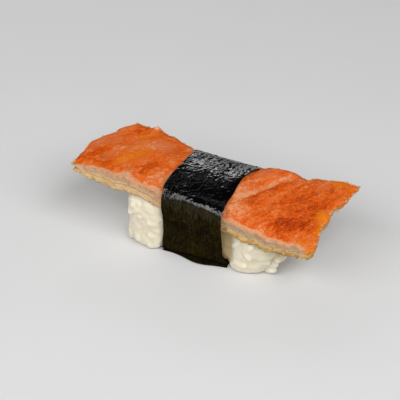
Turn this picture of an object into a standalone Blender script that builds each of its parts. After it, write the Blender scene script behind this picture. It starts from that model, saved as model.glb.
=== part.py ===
"""Salmon skin nigiri: a pressed block of rice, a strip of seared salmon on its skin, and a belt of seaweed.

The front of the piece faces -Y, its length runs along X and it stands on z = 0.
Sizes are worked out in millimetres, and every mesh is written in metres.
"""

import math
import random
from collections import namedtuple

import bmesh
import bpy
from mathutils import Matrix, Vector, noise

MM = 0.001
CENTRE_X = -0.81
CENTRE_Y = 1.05
GAP = 0.3
SHARP_ANGLE = math.radians(50)

# The salmon strip, read along its length: where its front and back edges run,
# how high its top lies at the front, the middle and the back, how thick it is,
# and how far its lower edge steps out past the upper one.
Station = namedtuple("Station", "x front back z_front z_middle z_back thick slant")
STATIONS = (
    Station(-47.0, -12.2, 12.2, 23.7, 25.8, 27.2, 2.1, 1.0),
    Station(-40.0, -12.2, 14.0, 24.2, 26.2, 27.6, 4.0, 1.8),
    Station(-27.0, -12.0, 15.2, 24.4, 26.3, 26.4, 5.4, 1.8),
    Station(-14.0, -12.6, 13.9, 23.2, 25.5, 24.2, 6.2, 0.8),
    Station(0.0, -12.9, 14.0, 22.4, 25.2, 22.8, 6.4, 0.6),
    Station(12.0, -12.8, 14.9, 21.4, 24.5, 22.4, 6.0, 0.8),
    Station(21.0, -12.2, 15.8, 18.6, 23.0, 24.0, 5.2, 1.0),
    Station(32.0, -11.8, 17.2, 17.8, 22.2, 24.6, 4.6, 1.0),
    Station(45.0, -12.0, 16.6, 18.4, 22.0, 26.3, 3.8, 1.0),
)
STRIP_LENGTH = 88.0
STRIP_WIDTH = 28.0
STRIP_FRONT = -12.0

# The outlines of the strip's two ends, from the front edge at share 0 to the back one at 1.
LEFT_SHARES = (0.0, 0.2, 0.4, 0.5, 0.6, 0.7, 0.8, 0.9, 1.0)
LEFT_REACHES = (-46.8, -45.8, -45.7, -44.9, -42.4, -40.6, -40.5, -39.2, -36.8)
RIGHT_SHARES = (0.0, 0.07, 0.15, 0.25, 0.36, 0.46, 0.52, 0.64, 0.74, 0.82, 0.92, 1.0)
RIGHT_REACHES = (39.9, 41.6, 41.3, 41.0, 39.9, 41.3, 40.7, 41.2, 43.2, 43.6, 44.0, 45.0)
LEFT_RAG_SHARE = 0.5
LEFT_BEVEL = 1.5
LEFT_BEVEL_REACH = 0.4
RIGHT_BEVEL = 0.6
RIGHT_BEVEL_REACH = 0.25
RIGHT_THINNING = 0.45
RIGHT_THINNING_FROM = 26.0
RIGHT_THINNING_TO = 42.0
BACK_SLANT_SHARE = 0.4
RIM_DROP = 0.9
RIM_WIDTH = 1.3
SQUEEZE_REACH = 5.0
SQUEEZE_DROP = 1.2
SQUEEZE_WIDTH = 0.7
FLESH_SHARE = 0.58
SKIN_OVERHANG = 0.2
STRIP_CELLS = (35, 10)
FLESH_LAYERS = 2
SKIN_LAYERS = 1

# Where the two layers part, at the front of the left end.
PARTING = 0.9
PARTING_LENGTH = 2.5

# The fold that crosses the right half, the lobe beside the belt and a nub on the back edge.
FOLD_YS = (-12.0, -5.3, -1.9, 3.5, 6.9, 10.2, 15.3)
FOLD_XS = (5.8, 9.9, 11.9, 14.8, 17.3, 20.3, 25.5)
FOLD_TURN = 0.8
FOLD_DEPTH = 1.3
FOLD_WIDTH = 2.3
FOLD_START = 10.0
LOBE_POINT = (17.5, 12.5)
LOBE_HEIGHT = 2.1
LOBE_RADIUS = 5.2
NUB_POINT = (-28.5, 14.2)
NUB_HEIGHT = 1.9
NUB_RADIUS = 1.3
LUMP_HEIGHT = 0.45
LUMP_SIZE = 9.0
LUMP_THICKENING = 0.08
RAG_DEPTH = 0.8
RAG_SIZE = 4.0
RAG_SPAN = 26.0

# The rice block: a rounded oblong, turned a little against the strip.
RICE_CENTRE = (-0.25, -1.0)
RICE_YAW = math.radians(4.6)
RICE_HALF_LENGTH = 26.4
RICE_HALF_WIDTH = 12.7
RICE_WAIST = 4.1
RICE_WAIST_RISE = (-0.3, 3.2)
RICE_SQUARENESS = 4.8
RICE_FOOT = 1.75
RICE_CELLS = (18, 8, 4)
RICE_HEADROOM = 0.75
RICE_TAPER = 0.06

# The grains that stand out from the block, in rows round its sides and over its underside.
GRAIN_LENGTH = 6.8
GRAIN_WIDTH = 3.3
GRAIN_DEPTH = 2.7
GRAIN_SEGMENTS = 5
GRAIN_RINGS = 4
GRAIN_SPREAD = 0.12
GRAIN_TILT = math.radians(38)
GRAIN_PITCH = 5.75
ROW_PITCH = 2.95
ROW_JITTER = 0.3
GRAIN_SINK = 0.25
SINK_JITTER = 0.35
GRAIN_JITTER = 0.7
TIP_SHARE = 0.8
MOST_ROWS = 7
ROW_OVERSHOOT = 1.15
GRAIN_CLEARANCE = 0.6
GRAIN_SHIFT = 3.0
FLOOR_CLEARANCE = 0.06
OUTLINE_STEPS = 240
UNDERSIDE_REACH = 0.84
UNDERSIDE_SPACING = 1.3
UNDERSIDE_JITTER = 0.1
RICE_SEED = 7

# The seaweed belt. Each wall entry holds the reach of its inner face at one height,
# in front and behind, at its left and its right edge.
BELT_LEFT = -11.6
BELT_RIGHT = 10.6
BELT_LEFT_YS = (-16.0, -14.0, -11.0, -8.0, -4.0, 0.0, 5.0, 13.0, 16.0)
BELT_LEFT_XS = (-11.2, -11.4, -12.0, -12.25, -12.05, -11.7, -11.8, -12.2, -12.4)
BELT_RIGHT_YS = (-14.0, -10.0, -4.0, 2.0, 7.0, 13.0, 16.0)
BELT_RIGHT_XS = (10.7, 10.0, 9.7, 9.3, 9.8, 10.6, 10.9)
BELT_THICK = 0.5
BELT_CELLS = (5, 54)
Wall = namedtuple("Wall", "z front_left front_right back_left back_right")
BELT_WALLS = (
    Wall(2.8, -13.1, -12.0, 11.6, 13.2),
    Wall(6.5, -12.8, -13.4, 11.8, 13.6),
    Wall(11.5, -12.7, -14.3, 12.4, 14.4),
    Wall(16.5, -14.1, -15.0, 14.4, 15.6),
    Wall(20.6, -14.2, -14.8, 14.6, 15.6),
)
BELT_LIFT = 0.55
BELT_OVER = (-9.6, -4.8, 0.0, 4.8, 10.4)
Shoulder = namedtuple("Shoulder", "in_left in_right up_left up_right")
BELT_FRONT_SHOULDER = (Shoulder(0.55, 0.35, 0.4, 0.5), Shoulder(2.2, 1.3, 0.8, 0.92))
BELT_SHOULDER_IN = 1.0
BELT_SHOULDER_UP = 0.5
BELT_CORNER = 1.7
BELT_HEEL_IN = 0.3
BELT_HEEL_UP = 1.1
BELT_TUCK = 9.0
BELT_LIP = 1.1
BELT_LIP_IN = 0.5
BELT_LIP_RISE = (0.35, 0.8)
CURVE_STEPS = 12


def blend(low, high, share):
    """The value that lies this share of the way from low to high."""
    return low + (high - low) * share


def catmull_rom(values, share):
    """The value between the two middle ones of four, on the smooth curve through them all."""
    before, start, end, after = values
    slope = (end - before) * share
    curve = (2 * before - 5 * start + 4 * end - after) * share**2
    twist = (3 * start - before - 3 * end + after) * share**3
    return start + 0.5 * (slope + curve + twist)


def eased(places, values, at):
    """The value at one place, on the smooth curve through the values at the given places."""
    last = len(places) - 1
    if at <= places[0]:
        return values[0]
    if at >= places[last]:
        return values[last]
    after = next(i for i, place in enumerate(places) if place > at)
    picked = [values[max(0, min(last, after + step))] for step in (-2, -1, 0, 1)]
    share = (at - places[after - 1]) / (places[after] - places[after - 1])
    return catmull_rom(picked, share)


def station_value(x, column):
    """One column of the strip's table at x, eased between its rows."""
    return eased([row.x for row in STATIONS], [getattr(row, column) for row in STATIONS], x)


def rise(value, low, high):
    """Rises smoothly from 0 at low to 1 at high."""
    share = max(0.0, min(1.0, (value - low) / (high - low)))
    return share * share * (3 - 2 * share)


def rough(x, y, z, size):
    """Smooth noise between about -1 and 1, with lumps of this size."""
    return noise.noise(Vector((x, y, z)) / size)


def outside_belt(x):
    """How far x lies outside the belt."""
    return max(BELT_LEFT - x, x - BELT_RIGHT)


def bare(x):
    """0 under the belt, rising to 1 clear of it."""
    return max(0.0, min(1.0, 0.5 * outside_belt(x)))


def bump(distance, reach):
    """A rounded bump of height 1 that fades over this reach."""
    return math.exp(-((distance / reach) ** 2))


def front_edge(x):
    """Where the strip's top ends at the front."""
    return station_value(x, "front") + bare(x) * RAG_DEPTH * rough(x, 0.0, 3.1, RAG_SIZE)


def back_edge(x):
    """Where the strip's top ends at the back."""
    return station_value(x, "back") + bare(x) * RAG_DEPTH * rough(x, 9.0, 5.3, RAG_SIZE)


def left_end(v, depth):
    """The strip's torn left end, at this share of its width and this depth."""
    bevel = LEFT_BEVEL * depth * rise(v, LEFT_BEVEL_REACH, 0.0)
    rag = LEFT_RAG_SHARE * RAG_DEPTH * rough(-40.0, v * RAG_SPAN, 1.7, RAG_SIZE)
    return eased(LEFT_SHARES, LEFT_REACHES, v) + rag + bevel


def right_end(v, depth):
    """The strip's torn right end, at this share of its width and this depth."""
    bevel = RIGHT_BEVEL * depth * rise(v, 0.0, RIGHT_BEVEL_REACH)
    rag = RAG_DEPTH * rough(40.0, v * RAG_SPAN, 2.9, RAG_SIZE)
    return eased(RIGHT_SHARES, RIGHT_REACHES, v) + rag - bevel


def fold_drop(x, y):
    """How deep the fold across the right half cuts into the top."""
    aside = (x - eased(FOLD_YS, FOLD_XS, y)) * FOLD_TURN
    begun = 1 / (1 + math.exp(FOLD_START - x))
    return begun * FOLD_DEPTH * bump(aside, FOLD_WIDTH)


def strip_top(x, y):
    """The height of the strip's top, before its rims are rounded."""
    front = station_value(x, "front")
    v = (y - front) / (station_value(x, "back") - front)
    v = max(-0.1, min(1.1, v))
    z_front = station_value(x, "z_front")
    z_back = station_value(x, "z_back")
    crown = station_value(x, "z_middle") - 0.5 * (z_front + z_back)
    height = blend(z_front, z_back, v) + crown * 4 * v * (1 - v)
    height -= fold_drop(x, y)
    height += LOBE_HEIGHT * bump(math.dist((x, y), LOBE_POINT), LOBE_RADIUS) * bare(x)
    height += NUB_HEIGHT * bump(math.dist((x, y), NUB_POINT), NUB_RADIUS)
    return height + LUMP_HEIGHT * rough(x, y, 0.0, LUMP_SIZE) * bare(x)


def strip_thickness(x, y):
    """How thick the whole strip is: thinner towards the back of its right end."""
    v = max(0.0, min(1.0, (y - STRIP_FRONT) / STRIP_WIDTH))
    thin = RIGHT_THINNING * v * rise(x, RIGHT_THINNING_FROM, RIGHT_THINNING_TO)
    lumps = LUMP_THICKENING * rough(x, y, 20.0, LUMP_SIZE)
    return station_value(x, "thick") * (1 + lumps - thin)


def strip_underside(x, y):
    """The height of the strip's underside."""
    return strip_top(x, y) - strip_thickness(x, y)


def strip_point(u, v, depth):
    """A point of the strip: u along it, v across it, and depth from 0 on top to 1 beneath."""
    left, right = left_end(v, depth), right_end(v, depth)
    x = blend(left, right, u)
    front, back = front_edge(x), back_edge(x)
    slant = station_value(x, "slant") * depth
    y = blend(front - slant, back + BACK_SLANT_SHARE * slant, v)
    inside = min(min(u, 1 - u) * (right - left), min(v, 1 - v) * (back - front))
    squeezed = rise(outside_belt(x), SQUEEZE_REACH, 0.0)
    width = RIM_WIDTH * (1 + SQUEEZE_WIDTH * squeezed)
    rim = RIM_DROP * (1 + SQUEEZE_DROP * squeezed) * bump(inside, width) * (1 - depth)
    return x, y, strip_top(x, y) - rim - strip_thickness(x, y) * depth


def parting(u, v):
    """How far apart the two layers stand, which is most at the front of the left end."""
    return GAP + PARTING * bump(u * STRIP_LENGTH, PARTING_LENGTH) * max(0.0, 1 - 3 * v)


def in_metres(x, y, z):
    """A point of the design as a vector in metres, with the piece centred on the origin."""
    return Vector((x - CENTRE_X, y - CENTRE_Y, z)) * MM


def box_grid(cells):
    """A unit box whose faces are cut into this many cells along each axis."""
    bm = bmesh.new()
    bmesh.ops.create_cube(bm, size=1.0)
    for axis, count in enumerate(cells):
        along = [e for e in bm.edges if abs((e.verts[0].co - e.verts[1].co)[axis]) > 0.5]
        bmesh.ops.subdivide_edges(bm, edges=along, cuts=count - 1, use_grid_fill=True)
    return bm


def plain_material(name, colour, roughness):
    """A Principled material of one colour."""
    material = bpy.data.materials.new(name)
    material.use_nodes = True
    shader = material.node_tree.nodes["Principled BSDF"]
    shader.inputs["Base Color"].default_value = (*colour, 1.0)
    shader.inputs["Roughness"].default_value = roughness
    shader.inputs["Metallic"].default_value = 0.0
    return material


def finish_object(name, bm, material, collection):
    """Turns a bmesh into a named, shaded object of the collection."""
    bmesh.ops.recalc_face_normals(bm, faces=bm.faces)
    bmesh.ops.triangulate(bm, faces=bm.faces, quad_method="SHORT_EDGE")
    mesh = bpy.data.meshes.new(name)
    bm.to_mesh(mesh)
    bm.free()
    mesh.shade_smooth()
    mesh.set_sharp_from_angle(angle=SHARP_ANGLE)
    mesh.materials.append(material)
    part = bpy.data.objects.new(name, mesh)
    collection.objects.link(part)
    return part


def make_flesh(collection):
    """The orange upper layer of the strip."""
    bm = box_grid((*STRIP_CELLS, FLESH_LAYERS))
    for vertex in bm.verts:
        u, v, up = (share + 0.5 for share in vertex.co)
        x, y, z = strip_point(u, v, FLESH_SHARE * (1 - up))
        vertex.co = in_metres(x, y, z + 0.5 * parting(u, v) * (1 - up))
    material = plain_material("salmon_flesh", (0.72, 0.17, 0.045), 0.45)
    return finish_object("salmon_flesh", bm, material, collection)


def make_skin(collection):
    """The pale lower layer of the strip, which reaches a little past the flesh."""
    bm = box_grid((*STRIP_CELLS, SKIN_LAYERS))
    for vertex in bm.verts:
        u, v, up = (share + 0.5 for share in vertex.co)
        x, y, z = strip_point(u, v, blend(1.0, FLESH_SHARE, up))
        y += SKIN_OVERHANG * (2 * v - 1) * (1 - up)
        vertex.co = in_metres(x, y, z - 0.5 * parting(u, v) * up)
    material = plain_material("salmon_skin", (0.56, 0.40, 0.20), 0.55)
    return finish_object("salmon_skin", bm, material, collection)


def evenly(points, count):
    """Points at even steps along a line of points, with both of its ends."""
    reach = [0.0]
    for a, b in zip(points, points[1:]):
        reach.append(reach[-1] + math.dist(a, b))
    picked = []
    at = 0
    for step in range(count + 1):
        wanted = reach[-1] * step / count
        while at < len(reach) - 2 and reach[at + 1] < wanted:
            at += 1
        share = (wanted - reach[at]) / (reach[at + 1] - reach[at])
        picked.append([blend(a, b, share) for a, b in zip(points[at], points[at + 1])])
    return picked


def smooth_line(points):
    """A dense line along the smooth curve through the points."""
    last = len(points) - 1
    dense = []
    for i in range(last):
        picked = [points[max(0, min(last, i + step))] for step in (-1, 0, 1, 2)]
        for step in range(CURVE_STEPS):
            share = step / CURVE_STEPS
            dense.append([catmull_rom([p[axis] for p in picked], share) for axis in (0, 1)])
    return [*dense, list(points[last])]


def belt_left(y):
    """Where the belt's left edge runs."""
    return eased(BELT_LEFT_YS, BELT_LEFT_XS, y)


def belt_right(y):
    """Where the belt's right edge runs."""
    return eased(BELT_RIGHT_YS, BELT_RIGHT_XS, y)


def belt_x(y, share):
    """The x of a point of the belt: share 0 on its left edge, 1 on its right one."""
    return blend(belt_left(y), belt_right(y), share)


def belt_section(share):
    """The (y, z) points of the belt's inner face: tuck, front, over the strip, back, foot and lip."""
    fronts = [(blend(w.front_left, w.front_right, share), w.z) for w in BELT_WALLS]
    backs = [(blend(w.back_left, w.back_right, share), w.z) for w in BELT_WALLS]
    over = [(y, strip_top(belt_x(y, share), y) + BELT_LIFT) for y in BELT_OVER]
    front_shoulder = []
    for stop in BELT_FRONT_SHOULDER:
        inward = blend(stop.in_left, stop.in_right, share)
        upward = blend(stop.up_left, stop.up_right, share)
        front_shoulder.append((fronts[-1][0] + inward, blend(fronts[-1][1], over[0][1], upward)))
    back_shoulder = (
        backs[-1][0] - BELT_SHOULDER_IN,
        blend(backs[-1][1], over[-1][1], BELT_SHOULDER_UP),
    )
    toe, heel = fronts[0][0], backs[0][0]
    tuck_z = 2 * BELT_THICK + GAP
    tuck = [(toe + reach, tuck_z) for reach in (BELT_TUCK, 0.5 * BELT_TUCK, BELT_CORNER)]
    foot = [
        (heel - BELT_HEEL_IN, BELT_HEEL_UP),
        (heel - BELT_CORNER, BELT_THICK),
        (heel - BELT_TUCK, BELT_THICK),
        (toe + BELT_TUCK, BELT_THICK),
        (toe + BELT_LIP_IN - BELT_LIP * rise(share, *BELT_LIP_RISE), BELT_THICK),
    ]
    return [*tuck, *fronts, *front_shoulder, *over, back_shoulder, *reversed(backs), *foot]


def make_belt(collection):
    """The seaweed belt: one sheet wound round the rice and the strip, thickened outwards."""
    bm = bmesh.new()
    wide, along = BELT_CELLS
    sections = []
    for column in range(wide + 1):
        sections.append(evenly(smooth_line(belt_section(column / wide)), along))
    bmesh.ops.create_grid(bm, x_segments=wide, y_segments=along, size=0.5)
    for vertex in bm.verts:
        share = vertex.co.x + 0.5
        y, z = sections[round(share * wide)][round((vertex.co.y + 0.5) * along)]
        vertex.co = in_metres(belt_x(y, share), y, max(z, BELT_THICK))
    material = plain_material("nori", (0.016, 0.017, 0.010), 0.35)
    belt = finish_object("nori_belt", bm, material, collection)
    solidify = belt.modifiers.new("thickness", "SOLIDIFY")
    solidify.thickness = BELT_THICK * MM
    solidify.offset = 1.0
    solidify.use_even_offset = True
    return belt


def rice_plan(along, across, reach):
    """A point of the block's plan, this share of the way out in a direction, as it stands."""
    power = RICE_SQUARENESS
    norm = (abs(along) ** power + abs(across) ** power) ** (1 / power)
    x = RICE_HALF_LENGTH * reach * along / norm
    clear = rise(outside_belt(x + RICE_CENTRE[0]), *RICE_WAIST_RISE)
    half_width = RICE_HALF_WIDTH - RICE_WAIST * (1 - clear)
    y = half_width * reach * across / norm
    c, s = math.cos(RICE_YAW), math.sin(RICE_YAW)
    return RICE_CENTRE[0] + x * c - y * s, RICE_CENTRE[1] + x * s + y * c


def rice_reach(share):
    """How full the block's plan is at this share of its height: drawn in at foot and top."""
    return 1 - RICE_TAPER * abs(2 * share - 1) ** 3


def rice_roof(x, y):
    """The height up to which the block is filled."""
    return strip_underside(x, y) - RICE_HEADROOM


def make_core(collection):
    """The block's core, which the grains stand out from."""
    bm = box_grid(RICE_CELLS)
    for vertex in bm.verts:
        along, across, up = 2 * vertex.co.x, 2 * vertex.co.y, vertex.co.z + 0.5
        out = max(abs(along), abs(across))
        x, y = RICE_CENTRE
        if out > 0:
            x, y = rice_plan(along, across, out * rice_reach(up))
        vertex.co = in_metres(x, y, blend(RICE_FOOT, rice_roof(x, y), up))
    rice = plain_material("rice", (0.78, 0.74, 0.62), 0.4)
    return finish_object("rice", bm, rice, collection)


def add_grain(rng, centre, axis, normal, collection):
    """Adds one grain along an axis, flat against a surface, unless it would cross its neighbours."""
    size = 1 + GRAIN_SPREAD * rng.uniform(-1, 1)
    half = Vector((GRAIN_WIDTH, GRAIN_DEPTH, GRAIN_LENGTH)) * 0.5 * size
    side = axis.cross(normal)
    turn = Matrix((side, normal, axis)).transposed()
    reach = [math.hypot(*(turn[row][k] * half[k] for k in range(3))) for row in range(3)]
    tips = [centre + axis * (step * half.z) for step in (-TIP_SHARE, 0.0, TIP_SHARE)]
    roof = min(strip_underside(tip.x, tip.y) for tip in tips) - GRAIN_CLEARANCE
    lowest, highest = FLOOR_CLEARANCE + reach[2], roof - reach[2]
    clear = GRAIN_CLEARANCE + reach[0]
    left = belt_left(centre.y) - clear
    right = belt_right(centre.y) + clear
    if left + GRAIN_SHIFT < centre.x < right - GRAIN_SHIFT or lowest > highest:
        return
    x = min(centre.x, left) if centre.x < 0 else max(centre.x, right)
    z = max(lowest, min(highest, centre.z))
    bm = bmesh.new()
    bmesh.ops.create_uvsphere(
        bm, u_segments=GRAIN_SEGMENTS, v_segments=GRAIN_RINGS, radius=1.0
    )
    place = Matrix.Translation(in_metres(x, centre.y, z))
    place = place @ turn.to_4x4() @ Matrix.Diagonal((*(half * MM), 1.0))
    bmesh.ops.transform(bm, matrix=place, verts=bm.verts)
    mesh = bpy.data.meshes.new("grain")
    bm.to_mesh(mesh)
    bm.free()
    collection.objects.link(bpy.data.objects.new("grain", mesh))


def add_wall_grains(rng, collection):
    """Rows of grains round the sides of the block."""
    turns = [math.tau * step / OUTLINE_STEPS for step in range(OUTLINE_STEPS + 1)]
    outline = [rice_plan(math.cos(turn), math.sin(turn), 1.0) for turn in turns]
    girth = sum(math.dist(a, b) for a, b in zip(outline, outline[1:]))
    count = 2 * round(girth / GRAIN_PITCH)
    stops = evenly(outline, count)[:-1]
    for row in range(MOST_ROWS):
        for stop in range(row % 2, count, 2):
            ahead = Vector(stops[(stop + 1) % count]) - Vector(stops[stop - 1])
            ahead = Vector((*ahead.normalized(), 0.0))
            normal = Vector((ahead.y, -ahead.x, 0.0))
            shift = ahead * GRAIN_JITTER * rng.uniform(-1, 1)
            x, y = stops[stop]
            height = GRAIN_WIDTH / 2 + row * ROW_PITCH + ROW_JITTER * rng.uniform(-1, 1)
            share = (height - RICE_FOOT) / (rice_roof(x, y) - RICE_FOOT)
            drawn_in = (1 - rice_reach(min(1.0, max(0.0, share)))) * RICE_HALF_WIDTH
            sink = drawn_in + GRAIN_SINK + SINK_JITTER * rng.uniform(-1, 1)
            centre = Vector((x, y, height)) + shift - normal * sink
            tilt = GRAIN_TILT * rng.uniform(-1, 1) * (row > 0)
            axis = ahead * math.cos(tilt) + Vector((0, 0, math.sin(tilt)))
            if share < ROW_OVERSHOOT:
                add_grain(rng, centre, axis, normal, collection)


def add_underside_grains(rng, collection):
    """Grains that lie flat on the underside of the block."""
    rows = round(2 * RICE_HALF_WIDTH / (UNDERSIDE_SPACING * ROW_PITCH))
    columns = round(2 * RICE_HALF_LENGTH / (UNDERSIDE_SPACING * GRAIN_PITCH))
    for row in range(rows):
        for column in range(columns):
            along = 2 * (column + (0.25, 0.75)[row % 2]) / columns - 1
            across = 2 * (row + 0.5) / rows - 1
            out = max(abs(along), abs(across))
            x, y = rice_plan(along, across, out * UNDERSIDE_REACH)
            turn = GRAIN_TILT * rng.uniform(-1, 1)
            axis = Vector((math.cos(turn), math.sin(turn), 0.0))
            centre = Vector((x, y, GRAIN_DEPTH / 2 + UNDERSIDE_JITTER * rng.random()))
            add_grain(rng, centre, axis, Vector((0, 0, -1)), collection)


def join_grains(core, grains):
    """Fuses the grains onto the core in one union, and keeps its one outer shell."""
    union = core.modifiers.new("grains", "BOOLEAN")
    union.operation = "UNION"
    union.operand_type = "COLLECTION"
    union.collection = grains
    union.solver = "EXACT"
    bpy.context.view_layer.objects.active = core
    bpy.ops.object.modifier_apply(modifier=union.name)
    for grain in list(grains.objects):
        bpy.data.objects.remove(grain, do_unlink=True)
    bpy.data.collections.remove(grains)
    keep_outer_shell(core.data)


def keep_outer_shell(mesh):
    """Drops every shell but the longest: sealed hollows and loose scraps."""
    bm = bmesh.new()
    bm.from_mesh(mesh)
    left = set(bm.verts)
    shells = []
    while left:
        shell = {left.pop()}
        edge = list(shell)
        while edge:
            near = {e.other_vert(v) for v in edge for e in v.link_edges} - shell
            shell |= near
            edge = list(near)
        left -= shell
        shells.append(shell)
    shells.sort(key=lambda shell: max(v.co.x for v in shell) - min(v.co.x for v in shell))
    spare = [vertex for shell in shells[:-1] for vertex in shell]
    bmesh.ops.delete(bm, geom=spare, context="VERTS")
    bmesh.ops.triangulate(bm, faces=bm.faces)
    bm.to_mesh(mesh)
    bm.free()


def make_rice(collection):
    """The rice block: its core with the grains fused on."""
    core = make_core(collection)
    grains = bpy.data.collections.new("grains")
    grains.hide_render = True
    bpy.context.scene.collection.children.link(grains)
    rng = random.Random(RICE_SEED)
    add_wall_grains(rng, grains)
    add_underside_grains(rng, grains)
    for grain in grains.objects:
        grain.display_type = "WIRE"
    join_grains(core, grains)
    core.data.shade_smooth()
    core.data.set_sharp_from_angle(angle=SHARP_ANGLE)
    return core


def clear_scene():
    """Removes every object that the scene starts with."""
    for thing in list(bpy.data.objects):
        bpy.data.objects.remove(thing, do_unlink=True)


def main():
    """Builds the whole piece in one collection."""
    clear_scene()
    parts = bpy.data.collections.new("salmon_skin_nigiri")
    bpy.context.scene.collection.children.link(parts)
    make_rice(parts)
    make_skin(parts)
    make_flesh(parts)
    make_belt(parts)


main()
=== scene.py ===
"""The looks of a salmon skin nigiri: seared salmon on rice, held by a belt of seaweed.

Shapes are worked out in millimetres, with the front of the piece towards -Y,
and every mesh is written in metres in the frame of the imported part.
"""

import itertools
import logging
import math
import random
from collections.abc import Mapping, Sequence
from dataclasses import dataclass
from enum import Enum

import bpy
import numpy as np
from mathutils import Matrix, Vector, noise


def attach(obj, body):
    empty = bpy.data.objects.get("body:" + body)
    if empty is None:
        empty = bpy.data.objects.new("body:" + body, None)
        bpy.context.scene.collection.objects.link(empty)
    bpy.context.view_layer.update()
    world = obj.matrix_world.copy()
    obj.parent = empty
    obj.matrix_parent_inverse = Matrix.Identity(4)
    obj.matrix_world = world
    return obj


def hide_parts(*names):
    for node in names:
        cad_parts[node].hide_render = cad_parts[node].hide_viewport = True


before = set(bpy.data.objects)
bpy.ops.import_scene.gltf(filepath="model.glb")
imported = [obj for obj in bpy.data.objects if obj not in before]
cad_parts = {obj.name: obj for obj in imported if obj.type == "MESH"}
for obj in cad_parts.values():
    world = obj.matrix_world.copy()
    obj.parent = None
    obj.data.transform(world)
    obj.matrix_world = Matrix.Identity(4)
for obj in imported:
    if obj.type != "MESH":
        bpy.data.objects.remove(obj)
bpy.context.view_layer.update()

Pair = tuple[float, float]
Triple = tuple[float, float, float]
Colour = Triple
Row = tuple[float, ...]
Rows = tuple[Row, ...]
Array = np.ndarray
Value = Array | float

LOG = logging.getLogger("nigiri")
MM = 0.001
CENTRE = np.array((-0.81, 1.05, 0.0))
UP = np.array((0.0, 0.0, 1.0))
BODY = "root"


def srgb(red: int, green: int, blue: int) -> Colour:
    """Turns a display colour of 0 to 255 into the linear one that a shader takes.

    Args:
        red: The red part.
        green: The green part.
        blue: The blue part.

    Returns:
        The linear colour.
    """
    parts = (channel / 255 for channel in (red, green, blue))
    linear = (c / 12.92 if c <= 0.04045 else ((c + 0.055) / 1.055) ** 2.4 for c in parts)
    return tuple(linear)


def blend(low: Value, high: Value, share: Value) -> Array:
    """The value that lies this share of the way from low to high."""
    return low + (high - low) * share


def bump(distance: Array, reach: float) -> Array:
    """A rounded bump of height 1 that fades over this reach."""
    return np.exp(-((distance / reach) ** 2))


def ease(value: Array, low: float, high: float) -> Array:
    """Rises smoothly from 0 at low to 1 at high."""
    share = np.clip((value - low) / (high - low), 0.0, 1.0)
    return share * share * (3 - 2 * share)


def rough(points: Array, size: float | Sequence[float], shift: float = 0.0) -> Array:
    """Smooth noise between about -1 and 1 at many points.

    Args:
        points: The points, one a row, in millimetres.
        size: How large its lumps are, in all or in each direction.
        shift: Moves the noise, so that two uses of it differ.

    Returns:
        One value a point.
    """
    scaled = np.asarray(points, float) / size + shift
    flat = scaled.reshape(-1, 3).tolist()
    return np.array([noise.noise(p) for p in flat]).reshape(scaled.shape[:-1])


def layered(points: Array, size: float, octaves: int, shift: float = 0.0) -> Array:
    """Noise of several sizes added up, each half as large and half as strong as the last."""
    parts = [rough(points, size / 2**k, shift + 7.3 * k) / 2**k for k in range(octaves)]
    return sum(parts) / (2 - 2 ** (1 - octaves))


def flat_points(x: Value, y: Value, z: Value = 0.0) -> Array:
    """Rows of x, y and z from arrays of the same shape, or from numbers."""
    return np.stack(np.broadcast_arrays(x, y, z), axis=-1).astype(float)


class Eased:
    """A smooth curve through a few rows of x and value."""

    def __init__(self, xs: Sequence[float], values: Sequence[float]) -> None:
        """Works the curve out once, on a dense row of x.

        Args:
            xs: The places of the rows, rising.
            values: The value at each.
        """
        last, steps = len(xs) - 1, 20
        self._x: list[float] = []
        self._value: list[float] = []
        for i in range(last):
            before, start, end, after = (values[max(0, min(last, i + k))] for k in (-1, 0, 1, 2))
            for t in (step / steps for step in range(steps)):
                curve = (end - before) * t + (2 * before - 5 * start + 4 * end - after) * t**2
                curve = curve + (3 * start - before - 3 * end + after) * t**3
                self._x.append(xs[i] + (xs[i + 1] - xs[i]) * t)
                self._value.append(start + 0.5 * curve)
        self._x.append(xs[last])
        self._value.append(values[last])

    def __call__(self, x: Array) -> Array:
        """The curve's values at x."""
        return np.interp(x, self._x, self._value)


def smooth_line(points: Sequence[Sequence[float]], steps: int = 16) -> Array:
    """A dense line on the smooth curve through some points.

    Args:
        points: The points that it passes through.
        steps: How many stretches lie between two of them.

    Returns:
        The dense line's points, one a row.
    """
    places = list(range(len(points)))
    dense = np.linspace(0, places[-1], steps * places[-1] + 1)
    columns = [Eased(places, [float(part) for part in row])(dense) for row in zip(*points)]
    return np.stack(columns, axis=-1)


def evenly(line: Array, count: int) -> Array:
    """Points at even steps along a dense line, with both of its ends.

    Args:
        line: The line's points, one a row.
        count: How many steps to take.

    Returns:
        The points, one more than the steps.
    """
    reach = np.concatenate([[0.0], np.cumsum(np.linalg.norm(np.diff(line, axis=0), axis=1))])
    wanted = np.linspace(0.0, reach[-1], count + 1)
    return np.stack([np.interp(wanted, reach, column) for column in line.T], axis=-1)


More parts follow.
